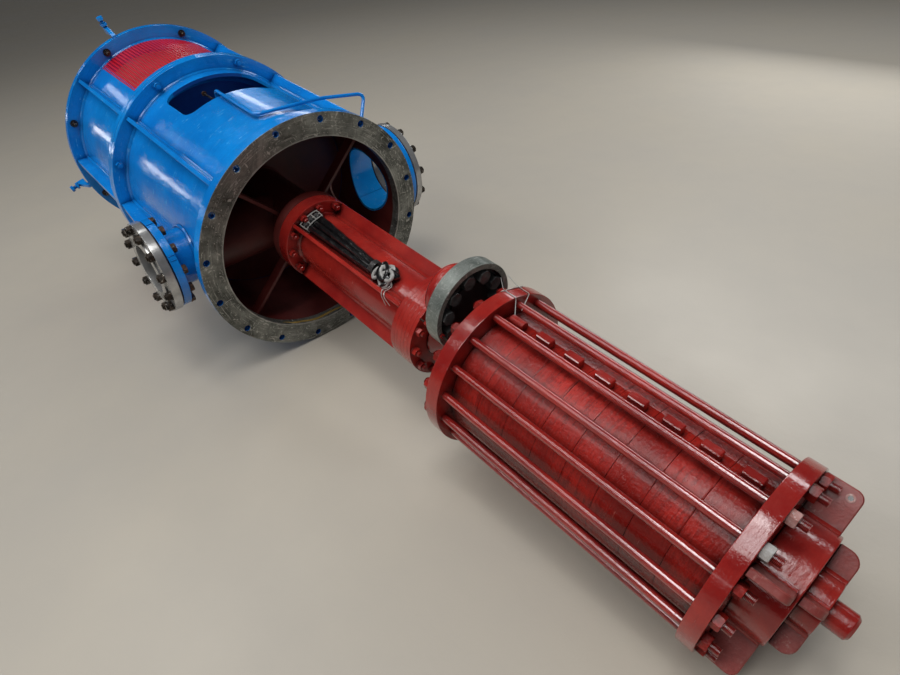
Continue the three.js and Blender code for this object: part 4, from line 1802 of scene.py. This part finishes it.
@dataclass(frozen=True)
class BranchNeck:
    """The neck between the column and the bowls, with the branch elbow and its steel flange."""

    back: float = 791.3
    front: float = 992.7
    wide: float = 100.0
    narrow: float = 56.0
    narrow_back: float = 835.0
    narrow_front: float = 955.0
    angle: float = 96.0
    offset: float = 205.0
    elbow_back: float = 800.0
    elbow: float = 98.0
    arm: float = 58.0
    arm_x: float = 845.0
    flange_back: float = 888.0
    flange_front: float = 940.0
    flange: float = 146.0
    recess: float = 128.0
    recess_back: float = 912.0
    bore: float = 60.0
    nuts: int = 10
    nut_circle: float = 100.0
    nut_first: float = 28.0
    nut: Fastener = Fastener(40, 27, washer=23)
    # Radius of the black disc in the bore, painted shade
    bore_shade_disc: float = 74.0
    neck_round: float = 14.0
    elbow_round: float = 42.0

    def build(self, lay: Lay) -> None:
        """Builds the neck with the elbow, then the flange with its black nuts.

        Args:
            lay: How the pump lies.
        """
        neck = Piece("bowl_neck_casting", RED)
        neck.add(turned([(self.back, 0), (self.back, self.wide), (self.narrow_back, self.narrow),
                         (self.narrow_front, self.narrow), (self.front, self.wide), (self.front, 0)],
                        64, self.neck_round, 5))
        place = at(0, self.offset, self.angle)
        face = self.flange_back - 0.3
        neck.add(turned([(self.elbow_back, 0), (self.elbow_back, self.elbow), (face, self.elbow), (face, 0)],
                        64, self.elbow_round, 8), place)
        sideways = around(self.angle) @ at(self.arm_x) @ UPRIGHT
        neck.add(bar(0, self.offset, self.arm, 40), sideways)
        neck.ship(lay, Slot.RED, "bowl_neck")
        flange = Piece("branch_flange_ring", GREY_STEEL)
        flange.add(turned([(self.flange_back, self.bore), (self.flange_back, self.flange),
                           (self.flange_front, self.flange), (self.flange_front, self.recess),
                           (self.recess_back, self.recess), (self.recess_back, self.bore)], 96, 1.5), place)
        spots = on_circle(self.nuts, self.recess_back, self.nut_circle, self.nut_first - self.angle)
        flange.add_all(self.nut.solid, (place @ spot for spot in spots), BLACK_STEEL)
        # Painted shade: a black disc fills the bore and the recess is repainted black
        flange.add(bar(self.flange_back + 2, self.recess_back + 6, self.bore_shade_disc, 48, 2), place, GASKET)
        flange.repaint(self.in_shaded_recess, BLACK_STEEL)
        flange.ship(lay, Slot.RAW, "branch_flange")

    def in_shaded_recess(self, face: BMFace) -> bool:
        """Whether a face is bare and lies inside the flange's raised rim, which is painted black as shade.

        Args:
            face: A face of the flange.

        Returns:
            True for a face of the recess.
        """
        middle = face.calc_center_median()
        away = middle - polar(0, self.offset, self.angle)
        inside = math.hypot(away.y, away.z) < self.recess + 0.5
        return face.material_index == 0 and inside and self.flange_back + 1 < middle.x < self.flange_front - 1


# The bowls


@dataclass(frozen=True)
class Bowls:
    """Eight stages between two rings, held by sixteen tie rods."""

    ring_outer: float = 269.0
    top_back: float = 993.0
    top_front: float = 1043.0
    bottom_back: float = 1865.0
    bottom_front: float = 1912.0
    rods: int = 16
    rod_first: float = 8.5
    rod_circle: float = 242.0
    rod: float = 12.0
    rod_back: float = 962.0
    rod_front: float = 1957.0
    nut: Fastener = Fastener(36, 21)
    back_nut_turn: float = 17.0
    front_nut_turn: float = 23.0
    stages: int = 8
    stage: float = 211.0
    lug_angle: float = 88.0
    lug_length: float = 52.0
    lug_width: float = 27.0
    lug_reach: float = 238.0
    round_lug: float = 15.0
    seat: float = 0.3
    # Nuts 4 and 5 are pale: partly worn paint and steel, partly a painted highlight of light on their flats
    worn_and_glinting_nuts: dict[int, Finish] = field(default_factory=lambda: {4: PALE_PAINT, 5: PALE_STEEL})

    def build(self, lay: Lay) -> None:
        """Builds the rings, the stages and the rods.

        Args:
            lay: How the pump lies.
        """
        for name, back, front in (("bowl_top_ring", self.top_back, self.top_front),
                                  ("bowl_bottom_ring", self.bottom_back, self.bottom_front)):
            made = Piece(f"{name}_plate", RED)
            made.add(bar(back, front, self.ring_outer, 128, 2.5))
            made.ship(lay, Slot.RED, name)
        length = (self.bottom_back - self.top_front) / self.stages
        for index in range(self.stages):
            self.build_stage(lay, index, self.top_front + length * index, length)
        for index in range(self.rods):
            self.build_rod(lay, index)

    def build_stage(self, lay: Lay, index: int, back: float, length: float) -> None:
        """Builds one stage with its lug.

        Args:
            lay: How the pump lies.
            index: The stage's number, from the top ring.
            back: Where the stage starts.
            length: How long it is.
        """
        front = back + length
        start = back + 0.2
        casing = Piece(f"stage_{index + 1}_casing", DUSTY_RED)
        casing.add(turned([(start, 0), (start, self.stage - 1.6), (start + 1.2, self.stage),
                           (front - 5, self.stage), (front - 0.4, self.stage - 1.4), (front - 0.4, 0)], 96))
        middle = back + length / 2
        half = self.lug_length / 2
        if index == 0:
            lug = bar(middle - half, middle + half, self.round_lug, 24, 2)
            casing.add(lug, at(0, self.stage + 13, self.lug_angle))
            foot = block(middle - half, middle + half, self.stage - 12, self.stage + 12, 26, 2)
            casing.add(foot, around(self.lug_angle))
        else:
            lug = block(middle - half, middle + half, self.stage - 12, self.lug_reach, self.lug_width, 2.5)
            casing.add(lug, around(self.lug_angle), ROD_RED)
        casing.ship(lay, Slot.RED, f"stage_{index + 1}")

    def build_rod(self, lay: Lay, index: int) -> None:
        """Builds one tie rod with a nut and a threaded end at each ring.

        Args:
            lay: How the pump lies.
            index: The rod's number, round the rings.
        """
        angle = self.rod_first + 360 * index / self.rods
        place = at(0, self.rod_circle, angle)
        made = Piece(f"tie_rod_{index + 1}_bar", ROD_RED)
        made.add(bar(self.top_front + 0.2, self.bottom_back - 0.2, self.rod, 20), place)
        back_nut = self.top_back - self.seat - self.nut.height
        made.add(threaded(self.rod_back, back_nut, self.rod - 0.5), place)
        made.add(self.nut.solid(), place @ at(back_nut, 0, self.back_nut_turn * index), DUSTY_RED)
        front_nut = self.bottom_front + self.seat
        made.add(self.nut.solid(), place @ at(front_nut, 0, self.front_nut_turn * index),
                 self.worn_and_glinting_nuts.get(index, DUSTY_RED))
        made.add(threaded(front_nut + self.nut.height, self.rod_front, self.rod - 0.5), place)
        made.ship(lay, Slot.RED, f"tie_rod_{index + 1}")


@dataclass(frozen=True)
class SuctionEnd:
    """Suction drum, bearing housing and the end of the shaft, each with four rounded plates."""

    back: float = 1912.3
    plates_front: float = 2005.7
    drum_front: float = 2014.0
    drum: float = 155.0
    drum_reach: float = 262.0
    drum_corner: float = 24.0
    housing_front: float = 2069.0
    housing: float = 73.0
    housing_reach: float = 141.0
    housing_corner: float = 30.0
    plate_angles: tuple[float, ...] = (43, 133, 223, 313)
    plate_thickness: float = 22.0
    plate_weld: float = 7.0
    shaft: float = 34.0
    shaft_front: float = 2128.0
    shaft_chamfer: float = 8.0
    seat: float = 0.3
    hole_angle: float = 43.0
    hole: float = 8.0
    hole_inset: float = 26.0

    def add_plates(self, piece: Piece, back: float, front: float, radius: float, reach: float,
                   corner: float) -> None:
        """Adds four plates with their welds to a drum.

        Args:
            piece: The drum's piece.
            back: Where the plates start.
            front: Where they end.
            radius: The drum's radius.
            reach: How far the plates reach from the axis.
            corner: Radius on the plates' far corners.
        """
        outline = [(back, radius - 20), (front, radius - 20), (front, reach), (back, reach)]
        for angle in self.plate_angles:
            piece.add(prism(outline, self.plate_thickness, {2: corner}, edge=3), around(angle), PLATE_RED)
            for side in (-self.plate_thickness / 2, self.plate_thickness / 2):
                piece.add(fillet(back, front - 2, radius, side, self.plate_weld), around(angle))

    def build(self, lay: Lay) -> None:
        """Builds the drum, the housing and the shaft's end.

        Args:
            lay: How the pump lies.
        """
        drum = Piece("suction_casing_drum", RED)
        drum.add(bar(self.back, self.drum_front, self.drum, 96, 4))
        self.add_plates(drum, self.back, self.plates_front, self.drum, self.drum_reach, self.drum_corner)
        spot = Matrix.Translation((self.plates_front - self.hole_inset, self.drum_reach - 25,
                                   self.plate_thickness / 2 - 1))
        eye = around(self.hole_angle) @ spot @ Matrix.Rotation(-QUARTER_TURN, 4, "Y")
        drum.add(ring(0, 2, self.hole + 2.5, self.hole - 2, 24, 0.6), eye, PALE_PAINT)
        # Painted shade: a black disc stands in for the dark inside the hole
        drum.add(bar(0, 1.4, self.hole - 2, 24), eye, BLACK_STEEL)
        drum.ship(lay, Slot.RED, "suction_casing")
        housing = Piece("bearing_housing_drum", RED)
        start = self.drum_front + self.seat
        housing.add(bar(start, self.housing_front, self.housing, 64, 4))
        self.add_plates(housing, start, self.housing_front, self.housing, self.housing_reach,
                        self.housing_corner)
        housing.ship(lay, Slot.RED, "bearing_housing")
        end = Piece("shaft_end_stub", RED)
        start = self.housing_front + self.seat
        end.add(turned([(start, 0), (start, self.shaft), (self.shaft_front - self.shaft_chamfer, self.shaft),
                        (self.shaft_front, self.shaft - self.shaft_chamfer), (self.shaft_front, 0)], 40, 1.2))
        end.ship(lay, Slot.RED, "shaft_end")


# Leads tied to the column, and the tie wires


@dataclass(frozen=True)
class Sleeve:
    """A sleeve on the column: its angles at the clamp and at the knot, its size and its lift."""

    name: str
    start: float
    end: float
    nodes: tuple[str, ...] = ()
    share: float = 1.0
    lift: float = 0.0


@dataclass(frozen=True)
class Loop:
    """One loop of the knot, an ellipse laid on the column."""

    radius: float
    squeeze: float
    shift: float
    turn: float
    lift: float
    finish: Finish = SLEEVE


@dataclass(frozen=True)
class Leads:
    """Sleeved leads that lie on the column, their clamp and the knot of loops."""

    back: float = 40.0
    front: float = 452.0
    column: float = 110.3
    wide: float = 14.0
    narrow: float = 9.5
    ripple: float = 0.5
    ripples: float = 34.0
    sleeve_steps: int = 28
    sleeves: tuple[Sleeve, ...] = (
        Sleeve("cable_left_sleeve", 123, 121, ("cable_left",)),
        Sleeve("cable_right_sleeve", 97, 107, ("cable_right",)),
        Sleeve("cable_middle_sleeve", 110, 114, share=0.78, lift=7))
    lead: float = 6.5
    loop_steps: int = 32
    loops_x: float = 520.0
    loops_angle: float = 112.0
    loops_bottom: float = 109.2
    loops: tuple[Loop, ...] = (
        Loop(50, 0.40, -2, 24, 3), Loop(44, 0.52, 8, 62, 8, GREY_LEAD), Loop(52, 0.34, 4, -20, 13),
        Loop(40, 0.5, 16, 84, 5), Loop(38, 0.42, -12, 118, 16, GREY_LEAD),
        Loop(34, 0.5, 18, 15, 20, GREY_LEAD), Loop(36, 0.46, -4, 50, 24))
    band_x: float = -62.0
    band_shifts: tuple[float, ...] = (-9, -3, 3, 9)
    band_rise: float = 14.0
    band_width: float = 24.0
    band_steps: int = 20
    band: float = 2.0
    wire: float = 1.4
    wire_bend: float = 10.0
    clamp_wires: tuple[tuple[float, float], ...] = ((36, 4), (56, 0), (74, -2))
    clamp_wire: float = 2.3
    clamp_rods: tuple[float, ...] = (94, 106, 118, 129)
    clamp_rod: float = 1.9
    clamp_nuts: tuple[float, ...] = (101, 112, 123)
    clamp_nut: Fastener = Fastener(17, 9)

    def sleeve(self, sleeve: Sleeve) -> BMesh:
        """A sleeve along the column, fuller where it starts.

        Args:
            sleeve: Its angles, size and lift.

        Returns:
            The closed tube.
        """
        radii = []
        route = []
        for step in range(self.sleeve_steps + 1):
            part = step / self.sleeve_steps
            ripple = self.ripple * math.sin(part * self.ripples)
            radius = sleeve.share * (self.wide + (self.narrow - self.wide) * part + ripple)
            radii.append(radius / self.wide)
            height = self.column + radius + sleeve.lift * math.sin(math.pi * part)
            angle = sleeve.start + (sleeve.end - sleeve.start) * part
            route.append(polar(self.back + (self.front - self.back) * part, height, angle))
        return tube(route, self.wide, 16, swell=lambda part: radii[round(part * self.sleeve_steps)])

    def loop(self, loop: Loop) -> BMesh:
        """One loop of the knot.

        Args:
            loop: Its size, turn and lift.

        Returns:
            The loop as a closed tube.
        """
        route = []
        spin = math.radians(loop.turn)
        for step in range(self.loop_steps):
            angle = FULL_TURN * step / self.loop_steps
            long = loop.radius * math.cos(angle)
            wide = loop.radius * loop.squeeze * math.sin(angle)
            along = long * math.cos(spin) - wide * math.sin(spin)
            across = long * math.sin(spin) + wide * math.cos(spin)
            sag = across * across / (2 * self.column)
            wave = 4 * math.sin(angle * 2 + loop.turn)
            height = self.loops_bottom + self.lead + 1 + loop.lift - sag + wave
            route.append(Vector((self.loops_x + loop.shift + along, height, across)))
        return tube(route, self.lead, 12, closed=True)

    def build(self, lay: Lay) -> None:
        """Builds the sleeves, the knot of loops at their end and the clamp at their start.

        Args:
            lay: How the pump lies.
        """
        for sleeve in self.sleeves:
            lead = Piece(sleeve.name, SLEEVE)
            lead.add(self.sleeve(sleeve))
            lead.ship(lay, Slot.SLEEVE, *sleeve.nodes)
        self.build_knot(lay)
        self.build_clamp(lay)

    def build_knot(self, lay: Lay) -> None:
        """Builds the loops, the bands round their neck and the two wires that hold them.

        Args:
            lay: How the pump lies.
        """
        spot = around(self.loops_angle)
        knot = Piece("cable_loops_knot", GREY_LEAD)
        for loop in self.loops:
            knot.add(self.loop(loop), spot, loop.finish)
        for shift in self.band_shifts:
            band = []
            for step in range(self.band_steps):
                turn = FULL_TURN * step / self.band_steps
                height = self.column + self.band_rise + self.band_rise * math.sin(turn)
                band.append(spot @ Vector((self.loops_x + self.band_x + shift, height,
                                           self.band_width * math.cos(turn))))
            knot.add(tube(band, self.band, 8, closed=True), STAY, BLACK_STEEL)
        for shift, end in ((0, polar(630, 138, 146)), (-14, polar(606, 132, 150))):
            wire = [polar(556 + shift, 128, 113), polar(584 + shift / 2, 126, 122),
                    polar(598 + shift / 2, 148, 128), polar(606 + shift, 169, 132),
                    polar(614 + shift, 169, 138), end]
            knot.add(tube(rounded_route(wire, self.wire_bend), self.wire, 8), STAY, ZINC)
        knot.ship(lay, Slot.SLEEVE, "cable_loops")

    def build_clamp(self, lay: Lay) -> None:
        """Builds the wire frame and the dark block that hold the sleeves at the column's flange.

        Args:
            lay: How the pump lies.
        """
        clamp = Piece("lead_clamp", ZINC)
        height = self.column + 2 * self.wide
        for x, rise in self.clamp_wires:
            strap = [polar(x, self.column + 3, 92)]
            strap += [polar(x, height + rise, 94 + 35 * step / 8) for step in range(9)]
            strap += [polar(x, self.column + 3, 131)]
            clamp.add(tube(rounded_route(strap, 6, 3), self.clamp_wire, 8))
        for angle in self.clamp_rods:
            clamp.add(tube([polar(34, height + 4, angle), polar(76, height - 2, angle)], self.clamp_rod, 8))
        for angle in self.clamp_nuts:
            clamp.add(self.clamp_nut.solid(), at(58, height - 4, angle) @ UPRIGHT, BLACK_STEEL)
        clamp.add(block(32, 62, self.column - 2, height - 1, 44, 3), around(self.loops_angle), BLACK_STEEL)
        clamp.ship(lay, Slot.SLEEVE)


@dataclass(frozen=True)
class Ties:
    """The wires round the branch flange and the top ring, and the screw tie beside them."""

    wire: float = 1.2
    bend: float = 9.0
    routes: tuple[tuple[Point, ...], ...] = (
        ((941, 275, 71), (992, 272, 80), (1044, 271, 80), (1046, 262, 80), (1087, 226, 90)),
        ((941, 282, 65), (992, 272, 67), (1044, 271, 67), (1046, 262, 68), (1074, 243, 80)),
        ((996, 271, 83), (1002, 272, 72), (996, 271, 61)))
    screw_start: Point = (796, 172, 133)
    screw_end: Point = (990, 252, 131)
    screw: float = 3.0
    barrel: float = 7.0

    def build(self, lay: Lay) -> None:
        """Builds the wires, then the screw tie with its red barrel.

        Args:
            lay: How the pump lies.
        """
        ties = Piece("tie_wires", ZINC)
        for route in self.routes:
            points = [polar(*point) for point in route]
            ties.add(tube(rounded_route(points, self.bend), self.wire, 8))
        ties.ship(lay, Slot.RAW)
        tie = Piece("screw_tie", STUD_STEEL)
        start, end = polar(*self.screw_start), polar(*self.screw_end)
        middle = [start.lerp(end, share) for share in (0.2, 0.25, 0.75, 0.8)]
        tie.add(tube([start, middle[0]], self.screw, 8))
        tie.add(tube(middle, self.barrel, 12), STAY, RED)
        tie.add(tube([middle[-1], end], self.screw, 8))
        tie.ship(lay, Slot.RAW)


# Floor, light and camera


@dataclass(frozen=True)
class Softbox:
    """A square lamp that looks at a point of the pump."""

    name: str
    azimuth: float
    height: float
    distance: float
    width: float
    depth: float
    power: float
    colour: Colour = (1.0, 1.0, 1.0)
    mirrored: bool = True
    aim: Point = (0.0, 0.0, 0.4)

    def build(self) -> None:
        """Hangs the lamp; azimuth and height are its direction from the point, in degrees."""
        lamp = bpy.data.lights.new(self.name, "AREA")
        lamp.shape = "RECTANGLE"
        lamp.size, lamp.size_y = self.width, self.depth
        lamp.energy = self.power
        lamp.color = self.colour
        made = bpy.data.objects.new(self.name, lamp)
        bpy.context.collection.objects.link(made)
        made.visible_glossy = self.mirrored
        side, up = math.radians(self.azimuth), math.radians(self.height)
        away = Vector((math.cos(up) * math.cos(side), math.cos(up) * math.sin(side), math.sin(up)))
        made.location = Vector(self.aim) + away * self.distance
        made.rotation_euler = away.to_track_quat("Z", "Y").to_euler()


@dataclass(frozen=True)
class Floor(Finish):
    """Plain pale floor with a faint shine."""

    colour: Colour = (0.46, 0.421, 0.352)
    shade: Colour = (0.42, 0.388, 0.333)

    def mix(self, recipe: Recipe) -> None:
        """Fills the node tree.

        Args:
            recipe: The material that is filled.
        """
        clouds = recipe.noise(0.9, 6.0, 0.6)
        recipe.feed(recipe.blend(recipe.spread(clouds, 0.35, 0.65), self.shade, self.colour), "Base Color")
        recipe.feed(recipe.spread(clouds, 0.35, 0.65, 0.42, 0.32), "Roughness")
        recipe.bump((recipe.noise(22.0, 6.0, 0.7), 0.0006))


@dataclass(frozen=True)
class Studio:
    """The floor, the lamps and the camera."""

    eye: Point = (1991.5, -1021.2, 1407.7)
    azimuth: float = -40.6206
    down: float = 42.3738
    roll: float = -1.5767
    focal: float = 25.05
    sensor: float = 36.0
    floor_size: float = 60.0
    sky: float = 0.26
    # Each lamp: azimuth, height, distance, width, depth, power
    lamps: tuple[Softbox, ...] = (
        Softbox("ceiling", 90, 82, 5.0, 6.0, 4.0, 22, (1.0, 0.985, 0.96), mirrored=False),
        Softbox("left_fill", -118, 38, 7.0, 4.0, 2.0, 76, mirrored=False),
        Softbox("right_low_fill", 88, 9, 5.0, 3.0, 1.0, 36, mirrored=False),
        Softbox("roof_light_left", -87, 50, 6.5, 4.5, 0.6, 64, (1.0, 0.99, 0.975)),
        Softbox("roof_light_top", -76, 79, 5.0, 4.0, 0.6, 45, (1.0, 0.99, 0.975)),
        Softbox("roof_light_over_ring", -86, 74, 5.0, 0.9, 3.6, 96, (1.0, 0.985, 0.985),
                aim=(1.55, -0.13, 0.54)),
        Softbox("roof_light_right", 94, 33, 7.0, 5.0, 0.8, 112, (0.97, 0.985, 1.0)),
        Softbox("back_roof_light", -165, 56, 6.5, 3.0, 0.6, 34),
        Softbox("left_strip", -92, 17, 7.0, 4.0, 0.25, 11),
        Softbox("far_left_window", -151, 8.5, 8.0, 0.7, 0.3, 4),
        Softbox("stool_side_window", -157, 5, 8.0, 0.6, 0.3, 4),
        Softbox("stool_top_window", -163.5, 23, 8.0, 0.7, 0.3, 3),
        Softbox("far_right_window", 152, 27, 8.0, 2.2, 0.4, 18),
    )

    def build(self, lay: Lay) -> None:
        """Sets the floor, hangs the lamps and puts the camera in its place.

        Args:
            lay: How the pump lies.
        """
        sheet = bmesh.new()
        bmesh.ops.create_grid(sheet, x_segments=1, y_segments=1, size=self.floor_size / 2)
        floor = as_object(sheet, "floor")
        floor.data.materials.append(Floor("pale_floor").material(lay))
        floor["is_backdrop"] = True
        for lamp in self.lamps:
            lamp.build()
        world = bpy.data.worlds.new("soft_room")
        world.use_nodes = True
        world.node_tree.nodes["Background"].inputs["Color"].default_value = (0.92, 0.95, 1.0, 1.0)
        world.node_tree.nodes["Background"].inputs["Strength"].default_value = self.sky
        world.cycles_visibility.glossy = False
        bpy.context.scene.world = world
        bpy.context.scene.view_settings.view_transform = "Standard"
        self.build_camera(lay)

    def build_camera(self, lay: Lay) -> None:
        """Puts the camera where the photograph was taken.

        Args:
            lay: How the pump lies, because the camera was fitted on the pump's own axis.
        """
        side, down = math.radians(self.azimuth), math.radians(self.down)
        ahead = Vector((-math.cos(down) * math.cos(side), -math.cos(down) * math.sin(side), -math.sin(down)))
        across = ahead.cross(Vector((0, 0, 1))).normalized()
        turn = Matrix.Rotation(math.radians(self.roll), 3, -ahead)
        right = turn @ across
        up = right.cross(ahead)
        pose = Matrix((right, up, -ahead)).transposed().to_4x4()
        pose.translation = Vector(self.eye)
        world = lay.matrix @ pose
        camera = bpy.data.cameras.new("camera")
        camera.lens = self.focal
        camera.sensor_width = self.sensor
        camera.sensor_fit = "HORIZONTAL"
        made = bpy.data.objects.new("camera", camera)
        bpy.context.collection.objects.link(made)
        made.location = world.translation
        made.rotation_euler = world.to_3x3().normalized().to_euler()
        bpy.context.scene.camera = made


def write_sizes(cad: Sequence[Vector], looks: Sequence[Vector]) -> None:
    """Gathers the CAD box and the box of the looks.

    Args:
        cad: Lowest and highest corner straight after loading.
        looks: The same, of everything that shows.
    """
    boxes = {"cad": [list(corner) for corner in cad], "visual": [list(corner) for corner in looks]}


def main() -> None:
    """Loads the frame, builds the assemblies in order and reports each piece."""
    logging.basicConfig(level=logging.INFO, format="%(message)s")
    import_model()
    cad_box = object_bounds()
    lay = Lay.from_frame()
    Studio().build(lay)
    head = (MotorFlange(), MotorStool(), JointFlanges(), HeadShell(), BarrelFlange(), DISCHARGE, SUCTION,
            HeadInside(), VentTube())
    pump_end = (Column(), BranchNeck(), Bowls(), SuctionEnd(), Leads(), Ties())
    for assembly in head + pump_end:
        assembly.build(lay)
    write_sizes(cad_box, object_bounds())


if __name__ == "__main__":
    main()
